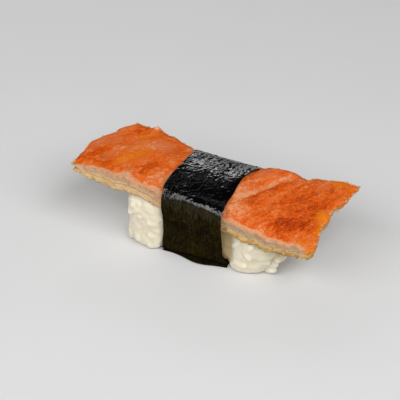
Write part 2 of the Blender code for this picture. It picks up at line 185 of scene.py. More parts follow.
@dataclass
class Surface:
    """Points and faces that become one mesh, with a number a point for each mask.

    The last faces may lie hidden inside the piece; they have no say in the normals.
    """

    points: Array
    faces: Array
    masks: dict[str, Array]
    hidden: int = 0

    def normals(self) -> Array:
        """The unit normal at each point, worked out on the faces that show.

        Returns:
            The normals, one a row.
        """
        faces = self.faces[: len(self.faces) - self.hidden]
        corners = self.points[faces]
        face_normals = np.cross(corners[:, 2] - corners[:, 0], corners[:, -1] - corners[:, 1])
        total = np.zeros_like(self.points)
        for column in range(faces.shape[1]):
            np.add.at(total, faces[:, column], face_normals)
        return total / (np.linalg.norm(total, axis=1, keepdims=True) + 1e-12)

    def swell(self, height: Array) -> None:
        """Moves each point along its normal by this height."""
        self.points = self.points + self.normals() * height[:, None]

    def make(self, name: str, material: bpy.types.Material) -> bpy.types.Object:
        """Makes the mesh and its object.

        Args:
            name: The piece's name.
            material: Its finish.

        Returns:
            The object, linked to the scene.
        """
        mesh = bpy.data.meshes.new(name)
        sides = self.faces.shape[1]
        mesh.vertices.add(len(self.points))
        mesh.vertices.foreach_set("co", ((self.points - CENTRE) * MM).astype(np.float32).ravel())
        mesh.loops.add(self.faces.size)
        mesh.loops.foreach_set("vertex_index", self.faces.astype(np.int32).ravel())
        mesh.polygons.add(len(self.faces))
        starts = np.arange(0, self.faces.size, sides, dtype=np.int32)
        mesh.polygons.foreach_set("loop_start", starts)
        mesh.update(calc_edges=True)
        mesh.validate()
        for mask, values in self.masks.items():
            layer = mesh.attributes.new(mask, "FLOAT", "POINT")
            layer.data.foreach_set("value", np.asarray(values, np.float32).ravel())
        mesh.shade_smooth()
        mesh.materials.append(material)
        piece = bpy.data.objects.new(name, mesh)
        bpy.context.scene.collection.objects.link(piece)
        return piece


def joined(parts: Sequence[Surface]) -> Surface:
    """Several surfaces with the same masks as one.

    Args:
        parts: The surfaces.

    Returns:
        The one surface.
    """
    starts = np.cumsum([0] + [len(part.points) for part in parts[:-1]])
    masks = {name: np.concatenate([part.masks[name] for part in parts]) for name in parts[0].masks}
    faces = np.concatenate([part.faces + start for part, start in zip(parts, starts)])
    return Surface(np.concatenate([part.points for part in parts]), faces, masks)


def grid_faces(rows: int, columns: int) -> Array:
    """The faces of a grid whose points are numbered along its rows.

    Args:
        rows: How many rows of points it has.
        columns: How many points each has.

    Returns:
        The faces, four points each.
    """
    index = np.arange(rows * columns).reshape(rows, columns)
    corners = (index[:-1, :-1], index[:-1, 1:], index[1:, 1:], index[1:, :-1])
    return np.stack([corner.ravel() for corner in corners], axis=-1)


def span_faces(count: int) -> Array:
    """The faces that span a ring of this many points, each from its near side to its far side."""
    half = np.arange(count // 2 - 1)
    return np.stack([half, half + 1, count - 2 - half, count - 1 - half], axis=-1)


class Wire:
    """A node's output that takes part in expressions: each operator adds its Math node."""

    def __init__(self, book: "Shader", socket: bpy.types.NodeSocket) -> None:
        """Wraps an output of this shader."""
        self.book = book
        self.socket = socket

    def _math(self, operation: str, *values: "Wire | float", clamp: bool = False) -> "Wire":
        """A Math node on some values, held between 0 and 1 where clamp is set."""
        settings = {"operation": operation, "use_clamp": clamp}
        return self.book.node("ShaderNodeMath", settings, dict(enumerate(values)))

    def __add__(self, other: "Wire | float") -> "Wire":
        """The sum."""
        return self._math("ADD", self, other)

    __radd__ = __add__

    def __mul__(self, other: "Wire | float") -> "Wire":
        """The product."""
        return self._math("MULTIPLY", self, other)

    __rmul__ = __mul__

    def __sub__(self, other: "Wire | float") -> "Wire":
        """The difference."""
        return self._math("SUBTRACT", self, other)

    def __rsub__(self, other: "Wire | float") -> "Wire":
        """The difference, the other way round."""
        return self._math("SUBTRACT", other, self)

    def held(self) -> "Wire":
        """This value, held between 0 and 1."""
        return self._math("ADD", self, 0.0, clamp=True)

    def rise(self, low: float, high: float) -> "Wire":
        """Rises smoothly from 0, where this value is low, to 1, where it is high.

        Args:
            low: Where it starts to rise.
            high: Where it is full.

        Returns:
            The risen value.
        """
        settings = {"interpolation_type": "SMOOTHSTEP"}
        sockets = {"Value": self, "From Min": low, "From Max": high}
        return self.book.node("ShaderNodeMapRange", settings, sockets)


class Shader:
    """A Principled material and the nodes that feed it."""

    def __init__(self, name: str) -> None:
        """Starts an empty material.

        Args:
            name: The material's name.
        """
        self.material = bpy.data.materials.new(name)
        self.material.use_nodes = True
        self.tree = self.material.node_tree
        self.tree.nodes.clear()
        place = self.node("ShaderNodeTexCoord", output="Object")
        self.place = self.scaled(place, (1 / MM,) * 3)

    def node(
        self,
        kind: str,
        settings: Mapping[str, object] | None = None,
        sockets: Mapping[str | int, object] | None = None,
        output: str | int = 0,
    ) -> Wire:
        """Adds a node.

        Args:
            kind: The node's type.
            settings: Its settings, and the stops of its ramp, which are set first.
            sockets: The values or the links of its inputs, by name or by place.
            output: Which of its outputs is wanted.

        Returns:
            That output.
        """
        made = self.tree.nodes.new(kind)
        for name, value in (settings or {}).items():
            if name == "stops":
                self._set_stops(made.color_ramp, value)
            else:
                setattr(made, name, value)
        for name, value in (sockets or {}).items():
            if isinstance(value, Wire):
                self.tree.links.new(value.socket, made.inputs[name])
            else:
                made.inputs[name].default_value = value
        return Wire(self, made.outputs[output] if made.outputs else None)

    @staticmethod
    def _set_stops(ramp: bpy.types.ColorRamp, stops: Sequence[tuple[float, Colour]]) -> None:
        """Gives a ramp its stops.

        Args:
            ramp: The ramp.
            stops: The place and the colour of each.
        """
        while len(ramp.elements) < len(stops):
            ramp.elements.new(1.0)
        for element, (place, colour) in zip(ramp.elements, stops):
            element.position = place
            element.color = (*colour, 1.0)

    def scaled(self, vector: Wire, scale: Sequence[float]) -> Wire:
        """A vector with each of its parts multiplied."""
        return self.node("ShaderNodeVectorMath", {"operation": "MULTIPLY"}, {0: vector, 1: scale})

    def mask(self, name: str) -> Wire:
        """One of the mesh's masks."""
        return self.node("ShaderNodeAttribute", {"attribute_name": name}, output="Fac")

    def grain(
        self,
        size: float | Triple,
        detail: float = 3.0,
        roughness: float = 0.55,
        warp: float = 0.0,
        turn: float = 0.0,
    ) -> Wire:
        """Noise between 0 and 1 in the object's own space.

        Args:
            size: How large its lumps are in millimetres, in all or in each direction.
            detail: How many smaller sizes it has.
            roughness: How strong those are.
            warp: How far it is bent.
            turn: How many degrees its first direction is turned from X towards Y.

        Returns:
            The noise.
        """
        sizes = size if isinstance(size, tuple) else (size, size, size)
        place = self.place
        if turn:
            sockets = {"Vector": place, "Angle": math.radians(-turn)}
            place = self.node("ShaderNodeVectorRotate", {"rotation_type": "Z_AXIS"}, sockets)
        vector = self.scaled(place, tuple(1 / part for part in sizes))
        sockets = {"Vector": vector, "Scale": 1.0, "Detail": detail, "Roughness": roughness}
        return self.node("ShaderNodeTexNoise", {}, {**sockets, "Distortion": warp}, "Fac")

    def ramp(self, value: Wire, stops: Sequence[tuple[float, Colour]]) -> Wire:
        """A colour from a value."""
        return self.node("ShaderNodeValToRGB", {"stops": stops}, {"Fac": value}, "Color")

    def mix(self, under: Wire | Colour, over: Wire | Colour, share: Wire | float) -> Wire:
        """Two colours mixed.

        Args:
            under: The colour at share 0.
            over: The colour at share 1.
            share: How much of the second shows.

        Returns:
            The mixed colour.
        """
        settings = {"data_type": "RGBA", "blend_type": "MIX", "clamp_result": True}
        pair = [c if isinstance(c, Wire) else (*c, 1.0) for c in (under, over)]
        return self.node("ShaderNodeMix", settings, {0: share, 6: pair[0], 7: pair[1]}, 2)

    def relief(
        self, height: Wire, distance: float, strength: float, under: Wire | None = None
    ) -> Wire:
        """A bumped normal.

        Args:
            height: The height, from 0 to 1.
            distance: What 1 stands for, in millimetres.
            strength: How much of it shows.
            under: A normal that is bumped already.

        Returns:
            The normal.
        """
        sockets = {"Height": height, "Distance": distance * MM, "Strength": strength}
        if under is not None:
            sockets["Normal"] = under
        return self.node("ShaderNodeBump", {}, sockets)

    def finish(self, sockets: Mapping[str, object]) -> bpy.types.Material:
        """Closes the material with its Principled shader.

        Args:
            sockets: The values or the links of the shader's inputs.

        Returns:
            The material.
        """
        settings = {"subsurface_method": "RANDOM_WALK"}
        surface = self.node("ShaderNodeBsdfPrincipled", settings, sockets)
        self.node("ShaderNodeOutputMaterial", {}, {"Surface": surface})
        return self.material


@dataclass(frozen=True)
class CutSide:
    """The strip's cut side, from the pink rim over a grey streak and tan fat to the golden edge."""

    pink: Colour = srgb(216, 148, 106)
    blush: Colour = srgb(196, 154, 118)
    lilac: Colour = srgb(156, 130, 110)
    cream: Colour = srgb(206, 174, 130)
    tan: Colour = srgb(190, 156, 92)
    gold: Colour = srgb(196, 138, 40)
    olive: Colour = srgb(136, 108, 58)
    brown: Colour = srgb(120, 72, 22)
    places: Row = (0.0, 0.2, 0.5, 0.78, 1.0)
    flake_size: Triple = (2.2, 1.4, 0.7)
    blotch_size: float = 2.0
    speck_size: float = 0.45
    pale_size: Triple = (1.4, 1.0, 0.8)
    honey_size: float = 1.6
    # The size of the painted shade between the fat's lumps.
    lump_shade_size: Triple = (1.3, 1.0, 0.9)
    toast_size: float = 0.9

    def colour(self, s: Shader) -> Wire:
        """The side's colour, from the mask of depth and noise.

        Args:
            s: The shader that it is for.

        Returns:
            The colour.
        """
        flakes = s.grain(self.flake_size, 4.0, 0.62, 0.8)
        blotch = s.grain(self.blotch_size, 3.0, 0.6, 0.6)
        speck = s.grain(self.speck_size, 2.0, 0.6)
        depth = s.mask("depth") + (flakes - 0.5) * 0.8 + (blotch - 0.5) * 0.8 + (speck - 0.5) * 0.4
        layers = (self.pink, self.blush, self.cream, self.tan, self.gold)
        colour = s.ramp(depth.held(), tuple(zip(self.places, layers)))
        band = (s.mask("lilac") + (flakes - 0.5) * 1.2 + (speck - 0.5) * 0.7).rise(0.3, 0.75)
        colour = s.mix(colour, self.lilac, band * 0.75)
        even = s.mask("even")
        pale = s.grain(self.pale_size, 3.0, 0.6, 0.6)
        pale = (pale + (speck - 0.5) * 0.5).rise(0.54, 0.68)
        colour = s.mix(colour, self.cream, pale * (0.6 + 0.1 * even))
        honey = s.mask("depth") + (s.grain(self.honey_size, 3.0, 0.65, 0.5) - 0.5) * 2.2
        colour = s.mix(colour, self.gold, honey.rise(0.9, 1.25) * 0.6)
        # Painted shade: olive blotches in the lower fat stand in for the shade between its lumps.
        painted_lump_shade = s.mask("depth") * 0.4 + s.grain(self.lump_shade_size, 3.0, 0.65, 0.6)
        colour = s.mix(colour, self.olive, painted_lump_shade.rise(0.72, 0.92) * 0.55)
        toast = s.mask("depth") + s.mask("toast")
        toast = toast + (s.grain(self.toast_size, 3.0, 0.65) - 0.5) * 2.4
        return s.mix(colour, self.brown, toast.rise(1.1, 1.5) * 0.65)


@dataclass(frozen=True)
class SearedFlesh:
    """Seared salmon: mottled orange on top, peach where it was cut, amber at its torn end."""

    pale: Colour = srgb(220, 150, 106)
    salmon: Colour = srgb(214, 114, 60)
    orange: Colour = srgb(214, 94, 22)
    red: Colour = srgb(194, 71, 11)
    brown: Colour = srgb(150, 46, 8)
    amber: Colour = srgb(222, 132, 18)
    # Smoky grey, also used for painted shade beside the belt and in the fold's crease.
    smoke_and_shade: Colour = srgb(172, 114, 72)
    cream: Colour = srgb(232, 200, 150)
    side: CutSide = CutSide()
    rose: Colour = srgb(206, 108, 66)
    places: Row = (0.0, 0.27, 0.52, 0.76, 1.0)
    lie: float = 38.0
    sweep: float = 58.0
    cloud_size: Triple = (8.0, 3.4, 4.0)
    blotch_size: Triple = (3.8, 2.0, 2.4)
    fibre_size: Triple = (1.9, 0.5, 0.6)
    mottle_size: Triple = (1.6, 1.1, 1.1)
    speck_size: float = 0.6
    fibre_height: float = 0.4
    speck_height: float = 0.25
    roughness: float = 0.7
    shine: float = 0.02
    clearness: float = 0.1
    clear_tint: Colour = (1.0, 0.35, 0.15)
    clear_depth: float = 1.0

    def material(self) -> bpy.types.Material:
        """The finish as a material.

        Returns:
            The material.
        """
        s = Shader("seared_flesh")
        cloud = s.grain(self.cloud_size, 2.0, 0.5, 0.6, self.sweep)
        blotch = s.grain(self.blotch_size, 3.0, 0.55, 0.8, self.sweep)
        fibre = s.grain(self.fibre_size, 3.0, 0.6, 0.5, self.lie)
        speck = s.grain(self.speck_size, 2.0, 0.6)
        mottle = s.grain(self.mottle_size, 3.0, 0.65, 0.5, self.lie)
        broad = (cloud - 0.5) * 0.9 + (blotch - 0.5) * 1.2
        fine = (fibre - 0.5) * 0.5 + (speck - 0.5) * 1.3
        even = s.mask("even")
        tone = s.mask("sear") + broad * (1 - 0.25 * even)
        tone = tone + (mottle - 0.5) * (1.1 + 0.5 * even) + fine * (1 - 0.5 * even)
        tones = (self.pale, self.salmon, self.orange, self.red, self.brown)
        colour = s.ramp(tone.held(), tuple(zip(self.places, tones)))
        # Smoky grey: partly the flesh's own tone, partly painted shade beside the belt and in the
        # fold's crease.
        smoke_and_shade = (s.mask("smoke_and_shade") + (fibre - 0.5) * 0.9 + (mottle - 0.5) * 1.3).rise(0.5, 0.95)
        colour = s.mix(colour, self.smoke_and_shade, smoke_and_shade * 0.7)
        rose = (s.mask("rose") + (blotch - 0.5) * 0.9 + (mottle - 0.5) * 0.9).rise(0.3, 0.8)
        colour = s.mix(colour, self.rose, rose * 0.6)
        amber = s.mask("amber") + (blotch - 0.5) * 1.0 + (mottle - 0.5) * 1.9 + (speck - 0.5) * 1.2
        colour = s.mix(colour, self.amber, amber.rise(0.3, 0.9) * 0.75)
        ragged = (mottle - 0.5) * 1.3 + (fibre - 0.5) * 0.8 + (speck - 0.5) * 0.7
        edge = s.mask("side")
        side = (edge * 1.15 + ragged * edge.rise(0.0, 0.12) * 0.85).rise(0.36, 0.78)
        colour = s.mix(colour, self.side.colour(s), side)
        crust = (s.mask("crust") + (mottle - 0.5) * 1.2 + (speck - 0.5) * 0.8).rise(0.5, 0.8)
        colour = s.mix(colour, self.cream, crust * 0.75)
        # Painted highlights: pale specks stand in for tiny oily glints.
        painted_glint = (speck + (mottle - 0.5) * 0.6).rise(0.57, 0.68)
        colour = s.mix(colour, self.pale, painted_glint * (0.22 - 0.14 * even))
        normal = s.relief(fibre * 0.6 + mottle * 0.4, self.fibre_height, 0.8)
        normal = s.relief(speck, self.speck_height, 0.9, under=normal)
        return s.finish(
            {
                "Base Color": colour,
                "Roughness": self.roughness,
                "Specular IOR Level": self.shine,
                "Subsurface Weight": self.clearness,
                "Subsurface Radius": self.clear_tint,
                "Subsurface Scale": self.clear_depth * MM,
                "Normal": normal,
            }
        )


@dataclass(frozen=True)
class GrilledSkin:
    """Grilled salmon skin: tan fat with a golden crumbly edge, dark grey beneath."""

    side: CutSide = CutSide()
    underside: Colour = srgb(96, 84, 68)
    streak_size: Triple = (2.4, 0.7, 0.5)
    speck_size: float = 0.5
    height: float = 0.3
    roughness: float = 0.6
    streak_gloss: float = 0.2
    shine: float = 0.12
    clearness: float = 0.1
    clear_tint: Colour = (1.0, 0.6, 0.3)
    clear_depth: float = 1.0

    def material(self) -> bpy.types.Material:
        """The finish as a material.

        Returns:
            The material.
        """
        s = Shader("grilled_skin")
        streak = s.grain(self.streak_size, 4.0, 0.6, 0.3)
        speck = s.grain(self.speck_size, 3.0, 0.7)
        beneath = (s.mask("under") + (streak - 0.5) * 0.4).rise(0.4, 0.9)
        colour = s.mix(self.side.colour(s), self.underside, beneath * 0.8)
        normal = s.relief(streak * 0.6 + speck * 0.4, self.height, 0.8)
        return s.finish(
            {
                "Base Color": colour,
                "Roughness": self.roughness - self.streak_gloss * streak,
                "Specular IOR Level": self.shine,
                "Subsurface Weight": self.clearness,
                "Subsurface Radius": self.clear_tint,
                "Subsurface Scale": self.clear_depth * MM,
                "Normal": normal,
            }
        )


@dataclass(frozen=True)
class RoastedSeaweed:
    """Roasted seaweed: glossy over the strip and olive brown on its sides, its top painted black as
    painted shade.
    """

    shaded_top_black: Colour = srgb(3, 3, 3)
    dark: Colour = srgb(16, 14, 9)
    olive: Colour = srgb(28, 23, 9)
    ochre: Colour = srgb(48, 38, 12)
    # The grey of the sheen painted below the front shoulder.
    painted_sheen_grey: Colour = srgb(64, 60, 46)
    places: Row = (0.15, 0.5, 0.95)
    streak_size: Triple = (0.45, 2.4, 3.2)
    mottle_size: Triple = (1.2, 1.2, 1.8)
    hair_size: Triple = (0.3, 1.5, 1.6)
    patch_size: Triple = (5.0, 4.0, 5.0)
    speck_size: float = 0.4
    wrinkle_size: Triple = (0.9, 0.6, 0.6)
    wrinkle_height: float = 0.09
    roughness: float = 0.7
    coat_roughness: float = 0.12
    coat_ior: float = 1.65

    def material(self) -> bpy.types.Material:
        """The finish as a material.

        Returns:
            The material.
        """
        s = Shader("roasted_seaweed")
        top = s.mask("top")
        streak = s.grain(self.streak_size, 3.0, 0.65, 0.4)
        mottle = s.grain(self.mottle_size, 3.0, 0.65, 0.5)
        speck = s.grain(self.speck_size, 2.0, 0.6)
        hair = s.grain(self.hair_size, 2.0, 0.6)
        patches = s.grain(self.patch_size, 3.0, 0.6, 0.6)
        lit = (patches - 0.5) * 0.9 + (mottle - 0.5) * 0.9
        lit = lit + (streak - 0.5) * 1.0 + (hair + speck - 1.0) * 1.0
        stops = tuple(zip(self.places, (self.dark, self.olive, self.ochre)))
        side = s.ramp((lit + 0.5).held(), stops)
        # Painted highlight: a grey sheen in vertical strokes below the front shoulder, fading
        # downwards.
        sheen_strokes = s.mask("painted_sheen") + (streak - 0.5) * 2.0 + (hair + speck - 1.0) * 1.2
        side = s.mix(side, self.painted_sheen_grey, sheen_strokes.rise(0.4, 1.2) * 0.3)
        # Painted shade: where the sheet faces up it is painted nearly black.
        colour = s.mix(side, self.shaded_top_black, top.rise(0.1, 0.6))
        wrinkles = s.grain(self.wrinkle_size, 3.0, 0.65, 0.8)
        normal = s.relief(wrinkles, self.wrinkle_height, 0.9)
        ragged = (mottle - 0.5) * 1.0 + (streak - 0.5) * 1.4 + (speck - 0.5) * 0.8
        gloss = (s.mask("gloss") + ragged).rise(0.15, 0.85)
        return s.finish(
            {
                "Base Color": colour,
                "Roughness": self.roughness,
                "Specular IOR Level": 0.0,
                "Coat Weight": gloss,
                "Coat Roughness": self.coat_roughness,
                "Coat IOR": self.coat_ior,
                "Normal": normal,
            }
        )


@dataclass(frozen=True)
class CookedRice:
    """Cooked rice: creamy and a little clear, each grain of its own tone."""

    white: Colour = srgb(228, 219, 199)
    cream: Colour = srgb(218, 206, 176)
    # The tint of the painted shade in the recess beside the belt's right edge.
    painted_recess_shade: Colour = srgb(226, 192, 122)
    recess_shade_end: float = 14.4
    recess_shade_strength: float = 0.7
    tone_size: float = 1.5
    dimple_size: float = 0.6
    dimple_height: float = 0.08
    gloss_size: float = 0.9
    roughness: float = 0.52
    uneven: float = 0.14
    shine: float = 0.1
    clearness: float = 1.0
    clear_tint: Colour = (1.0, 0.9, 0.75)
    clear_depth: float = 5.0

    def material(self) -> bpy.types.Material:
        """The finish as a material.

        Returns:
            The material.
        """
        s = Shader("cooked_rice")
        tone = s.mask("tone") * 0.6 + s.grain(self.tone_size, 2.0) * 0.5
        colour = s.mix(self.white, self.cream, tone.held())
        # Painted shade: the rice in the recess just right of the belt is tinted yellow.
        along = s.node("ShaderNodeSeparateXYZ", {}, {"Vector": s.place}, "X")
        painted_recess_shade = (self.recess_shade_end - along).rise(0.0, 2.0) * along.rise(0.0, 1.0)
        colour = s.mix(colour, self.painted_recess_shade, painted_recess_shade * self.recess_shade_strength)
        normal = s.relief(s.grain(self.dimple_size, 3.0), self.dimple_height, 0.7)
        return s.finish(
            {
                "Base Color": colour,
                "Roughness": self.roughness + self.uneven * s.grain(self.gloss_size, 2.0),
                "Specular IOR Level": self.shine,
                "Subsurface Weight": self.clearness,
                "Subsurface Radius": self.clear_tint,
                "Subsurface Scale": self.clear_depth * MM,
                "Normal": normal,
            }
        )


@dataclass(frozen=True)
class PaleFloor:
    """A plain pale floor."""

    colour: Colour = (0.72, 0.72, 0.72)
    cloud: float = 0.97
    cloud_size: float = 40.0
    roughness: float = 0.7

    def material(self) -> bpy.types.Material:
        """The finish as a material.

        Returns:
            The material.
        """
        s = Shader("pale_floor")
        darker = tuple(part * self.cloud for part in self.colour)
        tone = s.mix(self.colour, darker, s.grain(self.cloud_size, 2.0))
        return s.finish({"Base Color": tone, "Roughness": self.roughness})


@dataclass(frozen=True)
class Belt:
    """Where the belt of seaweed lies along the strip, which both share."""

    left: float = -11.6
    right: float = 10.6
    left_ys: Row = (-16.0, -14.0, -11.0, -8.0, -4.0, 0.0, 5.0, 13.0, 16.0)
    left_xs: Row = (-11.2, -11.4, -12.0, -12.25, -12.05, -11.7, -11.8, -12.2, -12.4)
    right_ys: Row = (-14.0, -10.0, -4.0, 2.0, 7.0, 13.0, 16.0)
    right_xs: Row = (10.7, 10.0, 9.7, 9.3, 9.8, 10.6, 10.9)

    def outside(self, x: Array) -> Array:
        """How far a point lies outside the belt, in millimetres."""
        return np.maximum(self.left - x, x - self.right)

    def bare(self, x: Array) -> Array:
        """0 under the belt, rising to 1 clear of it."""
        return np.clip(0.5 * self.outside(x), 0.0, 1.0)

    def edge(self, side: float, y: Array) -> Array:
        """The x of the belt's edge, from 0 at the left one to 1 at the right one."""
        left, right = Eased(self.left_ys, self.left_xs), Eased(self.right_ys, self.right_xs)
        return blend(left(y), right(y), side)


@dataclass(frozen=True)
class Patch:
    """A rounded patch of the strip's top, in millimetres from the belt's middle."""

    x: float
    y: float
    long: float
    wide: float
    amount: float
    turn: float = 0.0

    def at(self, x: Array, y: Array) -> Array:
        """How strongly the patch shows at these points.

        Args:
            x: Where along the strip.
            y: Where across it.

        Returns:
            The strengths.
        """
        c, s = math.cos(math.radians(self.turn)), math.sin(math.radians(self.turn))
        along = (x - self.x) * c + (y - self.y) * s
        across = (y - self.y) * c - (x - self.x) * s
        return self.amount * np.exp(-((along / self.long) ** 2) - (across / self.wide) ** 2)


def painted(rows: Rows, x: Array, y: Array) -> Array:
    """What these rows of patches add up to at these points."""
    return sum(Patch(*row).at(x, y) for row in rows)


# The strip's shape at a few places along it.
STATION_COLUMNS = ("x", "front", "back", "z_front", "z_middle", "z_back", "thick", "slant")
STATIONS = (
    (-47.0, -12.2, 12.2, 23.7, 25.8, 27.2, 2.1, 1.0),
    (-40.0, -12.2, 14.0, 24.2, 26.2, 27.6, 4.0, 1.8),
    (-27.0, -12.0, 15.2, 24.4, 26.3, 26.4, 5.4, 1.8),
    (-14.0, -12.6, 13.9, 23.2, 25.5, 24.2, 6.2, 0.8),
    (0.0, -12.9, 14.0, 22.4, 25.2, 22.8, 6.4, 0.6),
    (12.0, -12.8, 14.9, 21.4, 24.5, 22.4, 6.0, 0.8),
    (21.0, -12.2, 15.8, 18.6, 23.0, 24.0, 5.2, 1.0),
    (32.0, -11.8, 17.2, 17.8, 22.2, 24.6, 4.6, 1.0),
    (45.0, -12.0, 16.6, 18.4, 22.0, 26.3, 3.8, 1.0),
)


# The patches in each mask of the strip's top: x, y, length, width, strength, turn in degrees.
TINTS: dict[str, Rows] = {
    "sear": (
        (-43.9, -9.4, 3.0, 1.8, 0.16, 30.0), (-44.5, -6.0, 4.0, 2.0, -0.1, 60.0),
        (-40.0, -4.9, 3.8, 1.9, 0.3, 55.0), (-34.0, -9.0, 2.8, 1.6, 0.22, 40.0),
        (-22.6, -10.4, 2.4, 1.6, -0.22), (-39.5, 7.5, 3.6, 2.0, -0.12, 20.0),
        (-27.5, 4.6, 4.0, 1.6, -0.12, 10.0), (-37.0, -6.9, 0.9, 0.7, 0.45),
        (-31.0, 8.8, 4.4, 2.2, 0.22, -5.0), (-25.0, -3.0, 4.0, 2.0, 0.12, 58.0),
        (-37.2, -4.3, 2.4, 1.6, 0.14, 40.0), (-21.1, -7.1, 4.6, 1.5, 0.34, 62.0),
        (-31.7, 0.9, 6.5, 1.7, -0.12, 35.0), (-41.0, 1.5, 4.5, 1.8, -0.1, 30.0),
        (-23.5, 6.0, 4.0, 2.2, -0.28, 10.0), (-15.8, -9.1, 5.0, 4.0, -0.28),
        (-12.5, 3.0, 7.0, 2.0, -0.16, 90.0), (12.5, -9.0, 4.0, 5.0, -0.36),
        (11.0, 2.0, 7.0, 2.5, -0.22, 90.0), (33.6, -5.4, 5.5, 3.8, 0.42, 30.0),
        (28.2, -6.8, 4.0, 2.2, 0.3, 20.0), (20.0, 3.5, 4.0, 1.8, 0.16, 60.0),
        (26.0, -1.0, 6.0, 4.0, 0.18, 40.0), (34.0, 6.0, 7.0, 4.5, 0.18),
        (40.8, 13.0, 1.6, 3.0, 0.2), (15.0, 11.0, 6.0, 4.0, -0.04),
    ),
    "amber": (
        (-26.6, -0.2, 7.0, 4.2, 0.42, 50.0), (-31.5, -6.6, 5.0, 2.6, 0.42, 50.0),
        (-30.6, 8.0, 3.2, 2.0, 0.5, 20.0), (-38.0, -3.6, 3.0, 2.4, 0.2, 40.0),
        (-28.0, 11.0, 2.4, 1.5, 0.3), (-42.2, -10.3, 1.6, 1.4, 0.35),
        (38.0, 1.3, 3.0, 1.9, 0.42, 20.0), (40.0, -1.0, 4.0, 1.6, 0.38, 80.0),
        (39.8, -5.5, 4.0, 1.2, 0.22, 80.0), (39.6, -13.2, 2.8, 2.2, 0.5),
        (36.6, -10.6, 2.4, 1.5, 0.3, 20.0), (38.2, 15.2, 4.5, 1.8, 0.5),
    ),
    # Smoky grey patches; the two beside the belt's left edge are painted shade.
    "smoke_and_shade": (
        (-35.6, -4.7, 4.2, 2.8, 0.72, 40.0), (-37.0, -6.9, 1.0, 0.8, 0.5),
        (-33.0, 2.5, 6.0, 1.6, 0.35, 35.0), (-26.2, -9.0, 3.4, 1.8, 0.7, 30.0),
        (-30.0, 7.6, 1.0, 0.8, 0.5), (-22.0, 3.0, 3.0, 2.0, 0.3, 30.0),
        (-14.5, -9.0, 3.5, 3.5, 0.62), (-12.4, -5.0, 7.0, 1.6, 0.6, 90.0),
        (-17.9, 6.8, 1.8, 1.0, 0.6), (14.5, -4.5, 5.5, 1.5, 0.4, 55.0),
        (24.0, -3.5, 4.0, 1.6, 0.35, 45.0), (38.6, -7.8, 4.0, 1.0, 0.5, 78.0),
    ),
    "rose": (
        (-41.0, 1.0, 5.0, 2.4, 0.5, 30.0), (-35.0, 2.0, 5.0, 2.0, 0.4, 30.0),
        (-23.0, 5.6, 4.5, 2.6, 0.95), (19.0, 10.0, 6.0, 3.0, 0.45),
        (-16.5, 1.0, 4.0, 4.0, 0.3), (-39.5, 5.0, 4.0, 2.4, 0.7, 30.0),
        (-43.4, -1.5, 4.0, 2.4, 0.75, 45.0), (-21.0, 8.0, 3.0, 2.4, 0.7),
        (13.6, 10.0, 4.0, 3.0, 0.6, 60.0), (32.5, 12.4, 3.5, 2.0, 0.6),
        (42.0, 8.0, 1.8, 3.5, 0.6), (30.0, -4.0, 5.0, 3.0, 0.3, 30.0),
        (15.0, -8.0, 4.0, 4.0, 0.3),
    ),
}

# The depth at which the flesh meets the skin.
SEAM = 0.58


class Layer(Enum):
    """The two layers of the strip, each with the depths that it spans."""

    FLESH = (0.0, SEAM)
    SKIN = (SEAM, 1.0)


